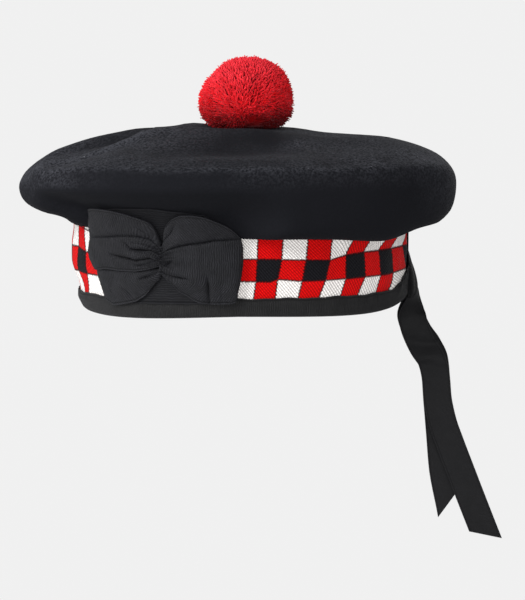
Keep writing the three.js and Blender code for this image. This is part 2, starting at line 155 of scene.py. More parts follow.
RIGHT_LOOP = table(
    "along bottom top arch",
    (2, 24.4, 37, 0.6), (4, 22.4, 40.2, 1.6), (5.2, 21.5, 44.5, 2.4), (6.5, 20.4, 48.8, 3),
    (8.5, 18.8, 51.5, 3.4), (11, 16.3, 54.1, 3.8), (13.7, 13.8, 55.7, 4.1), (17.6, 11.9, 56.9, 4.3),
    (22, 9.3, 57, 4.4), (26.5, 7.8, 56.5, 4.4), (33.7, 7.5, 53.7, 4), (41, 7.6, 49.6, 3.4),
    (43.6, 8.3, 47.3, 2.8), (45.5, 15, 45.2, 2.2), (47, 22.5, 43, 1.6), (48, 30, 38.5, 0.8))
LEFT_END = table(
    "along bottom top arch",
    (2.5, 23.4, 26.5, 0.6), (1.3, 21.2, 26.5, 1), (-3.7, 16, 26.2, 1.6), (-8.1, 11.5, 26, 2),
    (-13.9, 8.6, 25.8, 2.2), (-20, 7.4, 25.8, 2.4), (-30.6, 6, 25.8, 2), (-37.4, 8.4, 25.8, 1.7),
    (-40.1, 12, 25.6, 1.4), (-41.4, 17, 25.4, 1.1), (-42, 20.8, 24.5, 0.9))
# Creases: how deep and how wide each is, how far the ribbon beside it is raised (a negative lip
# raises the other side), and points along it as distance round and height
LEFT_CREASES = table(
    "depth width lip line",
    (1.7, 1.3, -1.2, ((-40, 42.4), (-27.5, 43.1), (-18.3, 44.1), (-8.6, 44.3), (-2.5, 42.6),
      (2.4, 38.5))),
    (3.2, 1.1, 1.4, ((-16.4, 40.2), (-13.7, 37.4), (-9.3, 37), (-2.1, 37), (2, 35.3))),
    (3, 1.1, 1.2, ((-27.3, 33.9), (-21.6, 33), (-17, 32.4), (-11.2, 31.2), (-3.3, 32.6),
      (2.6, 30.6))),
    (1.4, 0.8, 0, ((-12, 40.6), (-6, 40.2), (-1, 38.6), (2.2, 36.6))),
    (1.8, 0.9, 0.5, ((-12, 28.2), (-5, 28.6), (2.8, 30))),
    (1, 1.2, 0, ((-9, 49.5), (-5, 46.5), (0.5, 42))))
RIGHT_CREASES = table(
    "depth width lip line",
    (2.1, 1, -1.8, ((2.6, 34.4), (8.4, 37.3), (14.1, 39.1), (19.6, 40.3), (27.7, 41.5),
      (33.1, 42.7), (46, 43.6))),
    (2.9, 1, 1.2, ((2.3, 26.4), (5.4, 24), (9.4, 23), (12.8, 22.5), (19, 21.6))),
    (1.9, 1.2, 0.6, ((3, 28), (8.3, 30.1), (11, 32.2))),
    (1, 1, 0, ((3, 32.4), (9, 33.6), (16, 33.8))),
    (2.1, 2, 1, ((29.2, 22.5), (29.6, 19.3), (29.9, 13.8), (30.1, 6))),
    (0.8, 2, 0, ((36, 5), (36.4, 13), (38, 20))),
    (1, 1.6, 0.5, ((5, 42), (9.5, 46.5), (13, 52))),
    (0.7, 1.8, 0, ((10, 18.5), (16, 15), (22, 13.5))))
END_CREASES = table(
    "depth width lip line",
    (2.2, 1, -1, ((-10.4, 20.7), (-4.6, 22.1), (1.5, 24.6))),
    (1, 1.2, 0.6, ((-25, 17.6), (-18.6, 13.3), (-14, 9))))
BACKING_CREASES = table(
    "depth width lip line",
    (-0.6, 0.7, 0, ((-4.5, 13.9), (1.5, 20.4))),
    (-0.4, 0.8, 0, ((5, 12), (12, 12.6), (20, 10.8))))

# ---- Back strap, knot and tails
STRAP_HALF_WIDTH = 0.0085
STRAP_LENGTH = 0.0345
STRAP_TOP = 0.0415
STRAP_BOTTOM = 0.0095
STRAP_SHADE = 0.70
FLARE_LENGTH = 0.046  # how far round from the back seam the binding widens
FLARE_HEIGHT = 0.0155
KNOT_FLAT = (0.0270, 0.0330)
KNOT_SHADE = 0.93
# The binding's drawn-in ends over the back seam: half of the width and how far they stand out
DRAWN_ENDS = table(
    "height half_width out",
    (-2.6, 8.4, 3.6), (-1, 10, 5), (1.5, 12, 6), (4.5, 14, 6.4), (8, 14.8, 6), (12, 14, 5.2),
    (16, 12, 4.2), (20, 9.2, 3.1), (24, 6.5, 2.3), (27.5, 3, 1.4))
TAIL_WIDTH = 0.017
TAIL_OFFSET = 0.0012
NEAR_TAIL_SKEW = 0.0056
FAR_TAIL_SKEW = -0.008
# The tails' middle lines, how far they are turned in degrees, and how far they spread apart
TAIL_START = [
    (103, 8.5, 14, 0), (103.7, 5.5, 20, 0), (103.4, 2, 30, 0), (103.1, -2, 44, 0),
    (103, -6.6, 64, 0), (103.8, -11.5, 85, 0), (106.6, -19, 90, 1), (111.8, -28, 90, 3),
    (116.2, -36, 90, 1.5), (118.2, -47, 90, 0.2), (119.2, -59, 90, 0)
]
NEAR_TAIL = table(
    "x z turn fan", *TAIL_START,
    (122.2, -73, 90, 0), (127.3, -87.5, 90, 0), (132.9, -102, 90, 0), (139.5, -119, 90, 0),
    (149, -143, 90, 0))
FAR_TAIL = table(
    "x z turn fan", *TAIL_START,
    (120.1, -69, 90, 0), (121.3, -83, 90, 0), (123, -102, 90, 0), (127.1, -123.3, 90, 0))
# Soft slanting ripples across both tails: distance down, how far it slants, height and width
TAIL_RIPPLES = table(
    "down slant rise width",
    (36, 6, 1.4, 4.5), (46, 5, -1.2, 4), (80, 10, 0.6, 12))

# ---- Crown
CROWN_MIDDLE = np.array([0.0, 0.0, 0.065])
CROWN_HALF_SIZE = np.array([0.130, 0.118])
# The near rim is fuller than the wall below it: how far its shoulder stands out, at which height
SHOULDER_OUT = 0.0036
SHOULDER_HEIGHT = 0.0815
SHOULDER_UP = 0.35  # how far it moves up, as a share of how far it moves out
# Places from front to back where the top is fuller or flatter
TOP_SWELLS = table(
    "x rise width",
    (-115.5, 1.6, 9.5), (-65, 0.4, 7), (-41.5, -1.3, 9.5), (52, -1, 13), (90, 0.5, 11))
# Places where the underside sweeps up, and where its overhang is lifted clear of the band
END_SWEEPS = table("x rise width", (-109, 1.6, 10), (113, 1.6, 10))
RIM_LIFTS = table("x rise width", (101, 2.4, 12), (124, 1.6, 6), (-103.5, 2.6, 8.5))
# Folds of the top: how high and how wide each is, how much nap and lint shows along it (above 0
# also a painted highlight along the crest, below 0 a painted shade in the valley), and its line
# seen from above
TOP_FOLDS = table(
    "rise width lint line",
    (-7, 26, 0.14, ((-116, -36), (-100, -36), (-84, -34), (-56, -30))),
    (-5.6, 12, -0.1, ((-112, -20), (-98, -16), (-84, -12), (-70, -8), (-52, -4))),
    (0, 17, -0.3, ((-112, 6), (-96, 14), (-76, 20), (-56, 20), (-44, 10))),
    (4.4, 17, -0.02, ((-136, 16), (-116, 31), (-96, 40), (-74, 42), (-52, 40), (-34, 34))),
    (1.8, 4.2, 0.6, ((-121, -42), (-108, -47), (-97, -40), (-82, -35), (-70, -31), (-58, -29),
      (-46, -23), (-34, -12))),
    (1, 3.6, 0.34, ((-114, -24), (-101, -25), (-90, -30), (-80, -33))),
    (-1.4, 4, -0.26, ((-113, -36), (-101, -34), (-92, -34))),
    (1.4, 15, 0.1, ((-50, -14), (-34, -4), (-24, 6), (-20, 20))),
    (2.6, 10, 0.04, ((-30, -26), (-6, -30), (22, -28))),
    (1.9, 16, 0, ((-38, 22), (-20, 16), (6, 12), (30, 12), (64, 6))),
    (0.5, 3.2, 0.15, ((-46, -113), (-10, -118), (20, -117), (50, -109), (76, -94))),
    (0, 9, -0.14, ((-50, -104), (-10, -109), (30, -108), (70, -92))),
    (-3.2, 17, -0.28, ((-34, -72), (0, -68), (34, -64))),
    (0, 12, -0.26, ((-16, -48), (8, -46), (34, -46))),
    (0, 14, 0.14, ((-64, -60), (-48, -56), (-34, -52))),
    (1.4, 14, 0.04, ((30, -44), (62, -36), (86, -14))),
    (0, 12, -0.3, ((0, -32), (24, -34), (46, -36), (60, -36))),
    (0, 8, 0.2, ((-130, 4), (-127, -14), (-119, -32), (-110, -44))),
    (0, 5.5, 0.34, ((-64, -30), (-55, -28), (-44, -22))),
    (0, 9, 0.34, ((96, -58), (112, -40), (120, -14))))

# ---- Pompom
POMPOM_MIDDLE = 0.004  # along X
POMPOM_PROFILE = table(
    "radius height",
    (17, 0), (22.2, 3), (25, 6), (26.8, 9), (27.7, 13), (27.8, 19), (27, 24), (25, 30),
    (19.6, 36.6), (11.2, 41.1))
POMPOM_TOP = 0.0426
POMPOM_CORE_HEIGHT = 0.018  # above the seat
STRANDS = 8500
STRAND_RADIUS = 0.00037
STRAND_STEPS = 3  # rings along a strand
STRAND_SIDES = 3
ROOT_SHARE = 0.60  # of the way from the core to a strand's tip
HEART_SHARE = 0.84  # size of the dense heart
SEAT_TOP = 0.112  # the felt round the pompom lies below this height
TRIMMED_SIDE = (-0.75, 0.0, 0.66)
LIT_SIDE = (-0.16, -0.34, 0.92)
# Places where the yarn parts and the strands lie away from, measured from the core
PARTINGS = table(
    "x y z reach lean",
    (-3, -24.5, -11, 26, 12.5), (14, -22, 2, 9, 6), (15, 20, 5, 16, 8), (-20, 15, -2, 14, 7))
# How far the lowest strands on the near side stand clear of the felt: place from the core along X
POMPOM_LIFTS = table(
    "x lift",
    (-22, 3.4), (-12, 5), (-7, 2.4), (-0.5, 2.4), (3.5, 6.2), (10.5, 5.8), (14, 3))
RANDOM = np.random.default_rng(7)


# ---- Small tools
def clamp(value, top=1.0):
    return np.clip(value, 0.0, top)


def arch(share):
    """Up from 0 to 1 and down again along a share."""
    return np.sin(math.pi * clamp(share))


def ramp(start, end, value):
    """0 before start, 1 after end, and a smooth rise between them."""
    part = clamp((value - start) / (end - start))
    return part * part * (3.0 - 2.0 * part)


def near(value, middle, width):
    """1 at the middle, and less on either side of it."""
    return np.exp(-((value - middle) / width) ** 2)


def swell(rows, x):
    return sum(rise * near(x, middle, width) for middle, rise, width in each(rows))


def unit(vectors, least=0.0):
    return vectors / (np.linalg.norm(vectors, axis=1) + least)[:, None]


def walked(points):
    """Distance along a line of points, at each of them."""
    return np.concatenate([[0.0], np.cumsum(np.linalg.norm(np.diff(points, axis=0), axis=1))])


def smooth_through(at, known_at, known):
    """Values of a smooth curve through the known ones, without overshoot between them."""
    gaps = np.diff(known_at)
    slopes = np.diff(known) / gaps
    inner = np.where(slopes[1:] * slopes[:-1] > 0,
                     2 * slopes[1:] * slopes[:-1] / (slopes[1:] + slopes[:-1] + 1e-12), 0.0)
    tangents = np.concatenate([[slopes[0]], inner, [slopes[-1]]])
    i = np.clip(np.searchsorted(known_at, at) - 1, 0, len(gaps) - 1)
    t = clamp((at - known_at[i]) / gaps[i])
    bend = tangents[i] * (1 - t) - tangents[i + 1] * t
    return (known[i] + (known[i + 1] - known[i]) * t**2 * (3 - 2 * t)
            + gaps[i] * t * (1 - t) * bend)


def nearest_on(line, at, x, y):
    """The gap from each place to a line, the share of the line there and the side it is on.

    at says how far along the line each of its points is.
    """
    gap, share, side = np.ones_like(x), np.zeros_like(x), np.zeros_like(x)
    for start, end, before, after in zip(line, line[1:], at, at[1:]):
        step, off_x, off_y = end - start, x - start[0], y - start[1]
        part = clamp((off_x * step[0] + off_y * step[1]) / (step @ step))
        away = np.hypot(off_x - part * step[0], off_y - part * step[1])
        closer = away < gap
        gap = np.where(closer, away, gap)
        share = np.where(closer, (before + part * (after - before)) / at[-1], share)
        side = np.where(closer, np.sign(step[0] * off_y - step[1] * off_x), side)
    return gap, share, side


def soft_noise(points, size, seed=0.0):
    """Smooth noise from -1 to 1 at each point, with features of this size."""
    return np.array([noise.noise(Vector(p) / size + Vector((seed, seed, seed))) for p in points])


def only(piece):
    """Leaves one object selected and active."""
    bpy.ops.object.select_all(action="DESELECT")
    piece.select_set(True)
    bpy.context.view_layer.objects.active = piece


def read_vectors(items, key="co"):
    flat = np.empty(len(items) * 3)
    items.foreach_get(key, flat)
    return flat.reshape(-1, 3)


def set_positions(mesh, points):
    mesh.vertices.foreach_set("co", np.asarray(points, float).ravel())
    mesh.update()


def add_values(mesh, name, values):
    """An attribute with a value for each vertex, or the same one for all."""
    values = (np.zeros(len(mesh.vertices)) + values).astype(np.float32)
    mesh.attributes.new(name, "FLOAT", "POINT").data.foreach_set("value", values)


def add_object(name, data):
    made = bpy.data.objects.new(name, data)
    bpy.context.scene.collection.objects.link(made)
    return made


def add_primitive(name, add, **settings):
    bpy.ops.object.select_all(action="DESELECT")
    add(**settings)
    made = bpy.context.object
    made.name = name
    return made


def apply_modifier(piece, kind, **settings):
    only(piece)
    modifier = piece.modifiers.new(kind.title(), kind)
    for key, value in settings.items():
        setattr(modifier, key, value)
    bpy.ops.object.modifier_apply(modifier=modifier.name)


def finish_piece(piece, material, node, smooth_angle=60):
    """Smooth shading, the material, and what the piece rides on and stands for."""
    only(piece)
    bpy.ops.object.shade_smooth_by_angle(angle=math.radians(smooth_angle))
    piece.data.materials.clear()
    piece.data.materials.append(material)
    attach(piece, "root")
    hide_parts(node)


def cloth(name, node, flat, cells, place, material, pattern=None,
          painted_shade=None, joined=False, flip=False, thickness=RIBBON, side=-1.0, even=True,
          width=None):
    """A flat cloth of its cut size (width, length), moved to where it lies, with its own UV map.

    place and pattern take the two coordinates of the flat cloth, along and across, each from 0 to
    1. pattern gives the place in the weave, which otherwise runs straight along the cut. The
    painted-shade function gives how dark each place is painted as shade, from 0 to 1, deepest in
    folds. joined closes its ends on each other.
    """
    piece = add_primitive(name, bpy.ops.mesh.primitive_grid_add, x_subdivisions=cells[0],
                          y_subdivisions=cells[1], size=1.0)
    mesh = piece.data
    mesh.name = name
    along, across, _ = (read_vectors(mesh.vertices) + 0.5).T
    corners = np.empty(len(mesh.loops), np.int32)
    mesh.loops.foreach_get("vertex_index", corners)
    weave = pattern(along, across) if pattern else (along * flat[1], across * flat[0])
    weave = np.stack(weave, axis=-1)[corners]
    mesh.uv_layers[0].data.foreach_set("uv", weave.astype(np.float32).ravel())
    add_values(mesh, "from_edge", np.minimum(across, 1 - across) * (width or flat[0]))
    if painted_shade:
        # painted shade, kept as an attribute
        add_values(mesh, "painted_shade", painted_shade(along, across))
    set_positions(mesh, place(along, across))
    bpy.ops.object.mode_set(mode="EDIT")
    bpy.ops.mesh.select_all(action="SELECT")
    if joined:
        bpy.ops.mesh.remove_doubles(threshold=0.00005)
    if flip:
        bpy.ops.mesh.flip_normals()
    bpy.ops.object.mode_set(mode="OBJECT")
    apply_modifier(piece, "SOLIDIFY", thickness=thickness, offset=side, use_even_offset=even)
    finish_piece(piece, material, node)


# ---- Places on the headband
ARC_ANGLES = np.linspace(-2 * math.pi, 4 * math.pi, 6001)
ARC_SPEEDS = np.hypot(BAND_HALF_LENGTH * np.sin(ARC_ANGLES), BAND_HALF_WIDTH * np.cos(ARC_ANGLES))
ARC_DISTANCES = np.concatenate(
    [[0.0], np.cumsum((ARC_SPEEDS[1:] + ARC_SPEEDS[:-1]) / 2 * np.diff(ARC_ANGLES))])


def distance_to(degrees):
    return np.interp(math.radians(degrees), ARC_ANGLES, ARC_DISTANCES)


LEFT_SIDE = distance_to(270)
ROUND = distance_to(360) - distance_to(0)


def angle_along(start, distance):
    """The angle whose place on the band is this far round from a start in degrees."""
    return np.interp(distance_to(start) + distance, ARC_DISTANCES, ARC_ANGLES)


def band_points(angle, height, out):
    """Points on the band: angle from the back, height up the band, distance out from its face."""
    lengthwise, sideways = np.cos(angle), np.sin(angle)
    frontness, backness = np.maximum(0, -lengthwise), np.maximum(0, lengthwise) ** 12
    above = np.maximum(0, height - FULLEST_HEIGHT) / (BAND_HEIGHT - FULLEST_HEIGHT)
    tuck = frontness**2 * (
        FRONT_TUCK_BELOW * (1 - ramp(0.010, FULLEST_HEIGHT - 0.001, height))
        + FRONT_ROLL_IN * (1 - ramp(0.0, 0.007, height))
        + FRONT_TUCK_ABOVE * np.minimum(above, 1) ** 2)
    lift = ((BACK_LIFT * backness - FRONT_DROP * frontness)
            * np.maximum(0, 1 - height / BAND_HEIGHT)
            - (EDGE_DROP + EDGE_SAG * np.sin(2 * angle) ** 2) * np.maximum(0, 1 - height / 0.012))
    across_x, across_y = lengthwise / BAND_HALF_LENGTH, sideways / BAND_HALF_WIDTH
    steep = np.hypot(across_x, across_y)
    return np.stack([
        BAND_HALF_LENGTH * lengthwise + across_x / steep * (out - tuck),
        BAND_HALF_WIDTH * sideways + across_y / steep * (out - tuck),
        height + lift], axis=-1)


def cockade_points(along, height, out):
    """Points of the cockade: distance round from its middle, height, distance out."""
    rise = np.maximum(0, height - COCKADE_LEAN_START) / COCKADE_LEAN_SPAN
    return band_points(angle_along(COCKADE_ANGLE, along), height,
                       COCKADE_OUT + out + COCKADE_LEAN * rise**2)


def back_points(sideways, height, out):
    return band_points(angle_along(0, sideways), height, out)


def crease_depth(creases, along, height):
    """How far the creases pull the cloth in at each place; each is sharp in the middle."""
    total = np.zeros_like(along)
    for depth, width, lip, line in each(creases):
        gap, share, side = nearest_on(line, walked(line), along, height)
        raised = abs(lip) * (side * lip > 0) * np.exp(-gap / (3.5 * width))
        total += arch(share * 0.9 + 0.08) ** 0.45 * (depth * np.exp(-gap / width) - raised)
    return total


# ---- Node tools
def put(socket, value):
    """Links a socket to a value or another socket, or sets its own value. Colours are opaque."""
    value = getattr(value, "socket", value)
    if isinstance(value, bpy.types.NodeSocket):
        socket.id_data.links.new(value, socket)
    else:
        socket.default_value = (*value, 1.0) if isinstance(value, tuple) else value


def new_node(tree, kind, inputs=None, output=0, **settings):
    """One of the values that a new node gives out, with these inputs and settings."""
    node = tree.nodes.new("ShaderNode" + kind)
    for key, value in settings.items():
        setattr(node, key, value)
    for key, value in (inputs or {}).items():
        put(node.inputs[key], value)
    return Value(node.outputs[output])


def maths(operation, *values):
    tree = next(value.tree for value in values if isinstance(value, Value))
    return new_node(tree, "Math", dict(enumerate(values)), operation=operation)


def doing(operation, swapped=False):
    return lambda one, two: maths(operation, *((two, one) if swapped else (one, two)))


class Value:
    """What a node gives out. Arithmetic on it adds Math nodes to its tree."""

    def __init__(self, socket):
        self.socket, self.node, self.tree = socket, socket.node, socket.id_data

    __add__, __sub__, __rsub__ = doing("ADD"), doing("SUBTRACT"), doing("SUBTRACT", True)
    __mul__, __pow__, __mod__ = doing("MULTIPLY"), doing("POWER"), doing("FLOORED_MODULO")
    __truediv__, __rtruediv__ = doing("DIVIDE"), doing("DIVIDE", True)


def outputs(node):
    return {socket.name: Value(socket) for socket in node.outputs}


def fill(node, **values):
    """Links or sets the node's inputs by name, and gives its outputs."""
    for key, value in values.items():
        put(node.inputs[key.replace("_", " ")], value)
    return outputs(node)


def wave(value):
    """From 0 to 1 and back for each whole step of a value."""
    return maths("SINE", value * math.tau) * 0.5 + 0.5


def mix(factor, first, second, blend="MIX"):
    """A colour between two others."""
    inputs = {0: factor, 6: first, 7: second}
    return new_node(factor.tree, "Mix", inputs, 2, data_type="RGBA", blend_type=blend)


def remap(value, low, high, to_low=0.0, to_high=1.0, smooth=True):
    inputs = dict(enumerate((value, low, high, to_low, to_high)))
    kind = "SMOOTHSTEP" if smooth else "LINEAR"
    return new_node(value.tree, "MapRange", inputs, interpolation_type=kind)


def noise_texture(vector, scale, detail=3.0, roughness=0.55):
    inputs = {"Vector": vector, "Scale": scale, "Detail": detail, "Roughness": roughness}
    return new_node(vector.tree, "TexNoise", inputs)


def bump(height, distance, strength):
    inputs = {"Strength": strength, "Distance": distance, "Height": height}
    return new_node(height.tree, "Bump", inputs)


def split(vector):
    first = new_node(vector.tree, "SeparateXYZ", {0: vector})
    return first, Value(first.node.outputs[1])


def coordinates(tree, kind):
    return new_node(tree, "TexCoord", output=kind)


def attribute(tree, name):
    return new_node(tree, "Attribute", output="Fac", attribute_name=name)


def camera_rays(tree):
    return new_node(tree, "LightPath", output="Is Camera Ray")


def new_group(name, inputs, made):
    """An empty node group with a vector, these numbers and their defaults, and these outputs."""
    tree = bpy.data.node_groups.new(name, "ShaderNodeTree")
    tree.interface.new_socket(name="Vector", in_out="INPUT", socket_type="NodeSocketVector")
    for key, value in inputs.items():
        socket = tree.interface.new_socket(name=key, in_out="INPUT", socket_type="NodeSocketFloat")
        socket.default_value = value
    for key in made:
        tree.interface.new_socket(name=key, in_out="OUTPUT", socket_type="NodeSocketFloat")
    return tree, outputs(tree.nodes.new("NodeGroupInput")), tree.nodes.new("NodeGroupOutput")


def use_group(group, **values):
    node = values["Vector"].tree.nodes.new("ShaderNodeGroup")
    node.node_tree = group
    return fill(node, **values)


def new_material(name):
    """An empty material, its node tree and its principled shader."""
    material = bpy.data.materials.new(name)
    material.use_nodes = True
    tree = material.node_tree
    return material, tree, tree.nodes["Principled BSDF"]


# ---- Shared effects
def make_fibre_grain():
    """Fine fibre grain: a mottle for the colour and a height for the bump."""
    tree, given, made = new_group(
        "fibre_grain", {"Size": 0.0006, "Mottle Size": 0.008}, ["Mottle", "Height"])
    fine = noise_texture(given["Vector"], 1.0 / given["Size"], 4.0, 0.65)
    broad = noise_texture(given["Vector"], 1.0 / given["Mottle Size"])
    fill(made, Mottle=fine * 0.45 + broad * 0.55, Height=fine)
    return tree


def make_lint():
    """Light specks and short hairs that cling to dark cloth, in patches; the material says where.
    """
    tree, given, made = new_group("lint", {"Spacing": 0.004, "Share": 0.3}, ["Mask"])
    vector = given["Vector"]
    cells = new_node(tree, "TexVoronoi", {"Vector": vector, "Scale": 1.0 / given["Spacing"]})
    ragged = noise_texture(vector, 1600.0) * 0.26 - 0.13
    specks = remap(cells + ragged, 0.05, 0.14, 1.0, 0.0)
    chosen = maths("LESS_THAN", split(Value(cells.node.outputs["Color"]))[0], given["Share"])
    patches = remap(noise_texture(vector, 45.0, 2.0), 0.40, 0.62)
    fill(made, Mask=specks * chosen * patches)
    return tree


def make_ribs():
    """Ribs across a ribbon, with fine threads along it and a plain woven edge on each side."""
    tree, given, made = new_group(
        "ribbon_ribs", {"From Edge": 0.01, "Pitch": 0.001, "Thread": 0.00035},
        ["Height", "Shade", "Edge"])
    vector, from_edge = given["Vector"], given["From Edge"]
    along, across = split(vector)
    phase = (along + noise_texture(vector, 190.0) * 0.0022) / given["Pitch"]
    rib = wave(phase) ** 0.7
    thread = wave(across / given["Thread"] + maths("FLOOR", phase) % 2.0 * 0.5)
    edge = remap(from_edge, 0.0004, 0.0008, 1.0, 0.0)
    groove = remap(from_edge, 0.0006, 0.0009) - remap(from_edge, 0.0011, 0.0016)
    # painted shade in the grooves between ribs and by the woven edges, and painted highlight on the
    # rib crests, shown in patches
    patchy_rib_shade = remap(noise_texture(vector, 230.0), 0.38, 0.62)
    middle_tone = 0.42
    shade = (rib * (thread * 0.3 + 0.7) - middle_tone) * patchy_rib_shade + middle_tone
    fill(made, Height=rib + thread * 0.25 + edge - groove, Shade=shade * (1.0 - groove), Edge=edge)
    return tree


FIBRE_GRAIN = make_fibre_grain()
LINT = make_lint()
RIBS = make_ribs()


# ---- Materials
def make_felt():
    """Milled black wool felt: a short grey nap and lint, and painted sheen and highlights, where
    the crown's attribute raises them, dark elsewhere.
    """
    material, tree, shader = new_material("black_wool_felt")
    place, nap_and_painted_light = coordinates(tree, "Object"), attribute(tree, "nap_and_painted_light")
    grain = use_group(FIBRE_GRAIN, Vector=place, Size=0.0012, Mottle_Size=0.010)
    lint = use_group(LINT, Vector=place, Spacing=0.0032, Share=0.34)["Mask"]
    nap = remap(noise_texture(place, 700.0, 3.0, 0.75), 0.39, 0.63, 0.0, 2.0)
    amount = nap * remap(grain["Mottle"], 0.34, 0.66, 0.66, 1.34) * nap_and_painted_light
    amount.node.use_clamp = True
    # painted sheen and painted highlight: the lighter nap colour, as far as the crown's attribute
    # raises it
    colour = mix(amount, (0.0057, 0.0059, 0.0074), (0.0385, 0.0397, 0.0468))
    clinging = remap(nap_and_painted_light, 0.10, 0.80, smooth=False)
    fill(shader, Base_Color=mix(lint * clinging, colour, (0.20, 0.203, 0.226)), Roughness=0.95,
         Specular_IOR_Level=0.03, Sheen_Weight=0.010, Sheen_Roughness=0.5,
         Sheen_Tint=(0.72, 0.74, 0.84), Normal=bump(grain["Height"], 0.0005, 0.5))
    return material


def make_ribbon(name, dark, light, roughness, pitch, sheen, relief, gloss):
    """Ribbed ribbon whose weave follows its own UV map, with painted shade: dark and dull in its
    folds.
    """
    material, tree, shader = new_material("grosgrain_" + name)
    ribs = use_group(RIBS, Vector=coordinates(tree, "UV"), From_Edge=attribute(tree, "from_edge"),
                     Pitch=pitch, Thread=0.00042)
    place, painted_shade = coordinates(tree, "Object"), attribute(tree, "painted_shade")
    grain = use_group(FIBRE_GRAIN, Vector=place, Size=0.0012, Mottle_Size=0.007)
    # patches where the painted rib shade shows more or less, and the tone varies at random
    patchy_rib_shade = remap(grain["Mottle"], 0.30, 0.70, 0.35, 1.15)
    colour = mix(ribs["Shade"] * patchy_rib_shade, dark, light)
    # painted highlight along the woven edges
    colour = mix(ribs["Edge"] * 0.35, colour, light)
    # painted shade: near black, with less gloss and sheen, where the attribute marks painted shade
    fill(shader, Base_Color=mix(painted_shade, colour, (0.0012, 0.0012, 0.0016)),
         Roughness=remap(ribs["Height"], 0.0, 1.2, roughness + 0.15, roughness),
         Specular_IOR_Level=remap(painted_shade, 0.0, 1.0, gloss, gloss * 0.45, smooth=False),
         Sheen_Weight=remap(painted_shade, 0.0, 1.0, sheen, sheen * 0.1, smooth=False),
         Sheen_Roughness=0.4, Sheen_Tint=(0.82, 0.82, 0.9),
         Normal=bump(ribs["Height"], relief, 0.8))
    return material


def make_dicing():
    """Woven tape with three rows of squares in white, red and black yarn."""
    material, tree, shader = new_material("diced_tape")
    weave = coordinates(tree, "UV")
    along, up = split(weave)
    # each joint steps from stitch to stitch, so the squares have toothed edges
    wander = noise_texture(weave, 700.0, 1.0) * 0.0008 - 0.0004
    across_square = (maths("PINGPONG", up / STITCH, 0.5) * 0.0011 + along + wander) / SQUARE
    up_square = (maths("PINGPONG", along / STITCH, 0.5) * 0.0007 + up + wander) / SQUARE_HEIGHT
    # the tape's upper edge goes on in the colours of the third row
    row = maths("MINIMUM", maths("FLOOR", up_square), 2.0)
    red = maths("LESS_THAN", (maths("FLOOR", across_square) + row) % 2.0, 0.5)
    middle = maths("COMPARE", row, 1.0, 0.5)
    # slanting stitches, broken into short lengths
    ridge = wave(along / STITCH + up / (STITCH * 0.9)) ** 0.6
    breaks = maths("SINE", (up / (STITCH * 1.3) - along / (STITCH * 1.9)) * math.tau)
    height = ridge * (breaks * 0.22 + 0.78)
    # painted shade: each colour is darker low between the stitches and lighter on their ridges
    white, scarlet, black = (mix(height, low, high) for low, high in (
        ((0.41, 0.390, 0.375), (0.92, 0.882, 0.862)),
        ((0.27, 0.0008, 0.0010), (0.65, 0.0032, 0.0034)),
        ((0.003, 0.003, 0.004), (0.0095, 0.0093, 0.0115))))
    colour = mix(red, mix(middle, white, black), scarlet)
    # the dark gap between neighbouring squares
    gap = maths("MAXIMUM", *(
        remap(maths("PINGPONG", place, 0.5) * size, 0.00022, 0.00065, 1.0, 0.0)
        for place, size in ((across_square, SQUARE), (up_square, SQUARE_HEIGHT))))
    colour = mix(gap * 0.88, colour, (0.022, 0.002, 0.003))
    fuzz = use_group(FIBRE_GRAIN, Vector=weave, Size=0.0007, Mottle_Size=0.004)["Mottle"]
    colour = mix(remap(fuzz, 0.3, 0.7, 0.0, 0.12), colour, (0.0, 0.0, 0.0), "MULTIPLY")
    fill(shader, Base_Color=colour, Roughness=0.9, Specular_IOR_Level=0.05, Sheen_Weight=0.02,
         Sheen_Roughness=0.5, Normal=bump(height - gap * 0.7, 0.0005, 0.9))
    return material


def make_yarn():
    """Scarlet yarn with painted shade, darker towards the roots of the strands and where
    strand_light is low, and a painted pink highlight where strand_shade is high.
    """
    material, tree, shader = new_material("scarlet_yarn")
    tip = mix(attribute(tree, "strand_shade"), (0.64, 0.0030, 0.0055), (0.76, 0.034, 0.050))
    along = remap(attribute(tree, "strand_along"), 0.35, 0.95)
    colour = mix(along, (0.30, 0.0012, 0.0025), tip)
    colour = mix(attribute(tree, "strand_light"), (0.075, 0.0006, 0.0012), colour)
    fibre = noise_texture(coordinates(tree, "Object"), 2600.0)
    colour = mix(remap(fibre, 0.35, 0.65, 0.22, 0.0), colour, (0.25, 0.25, 0.25), "MULTIPLY")
    fill(shader, Base_Color=colour, Roughness=0.85, Specular_IOR_Level=0.06, Sheen_Weight=0.10,
         Sheen_Roughness=0.35, Sheen_Tint=(1.0, 0.45, 0.5), Normal=bump(fibre, 0.0002, 0.5))
    return material


FELT_MATERIAL = make_felt()
TAPE_MATERIAL = make_dicing()
BOW_MATERIAL = make_ribbon(
    "bow", (0.0022, 0.0023, 0.0031), (0.0142, 0.0144, 0.0178),
    roughness=0.60, pitch=0.00115, sheen=0.02, relief=0.00034, gloss=0.14)
# a darker copy of the bow ribbon: painted shade on the backing behind the bow
SHADED_BACKING_MATERIAL = make_ribbon(
    "backing", (0.0026, 0.0027, 0.0034), (0.0100, 0.0101, 0.0122),
    roughness=0.65, pitch=0.00125, sheen=0.01, relief=0.00022, gloss=0.10)
BINDING_MATERIAL = make_ribbon(
    "binding", (0.0030, 0.0030, 0.0032), (0.0155, 0.0155, 0.0162),
    roughness=0.65, pitch=0.00095, sheen=0.035, relief=0.00030, gloss=0.16)
TAIL_MATERIAL = make_ribbon(
    "tails", (0.0029, 0.0029, 0.0034), (0.0058, 0.0058, 0.0067),
    roughness=0.55, pitch=0.0007, sheen=0.01, relief=0.00008, gloss=0.11)
YARN_MATERIAL = make_yarn()


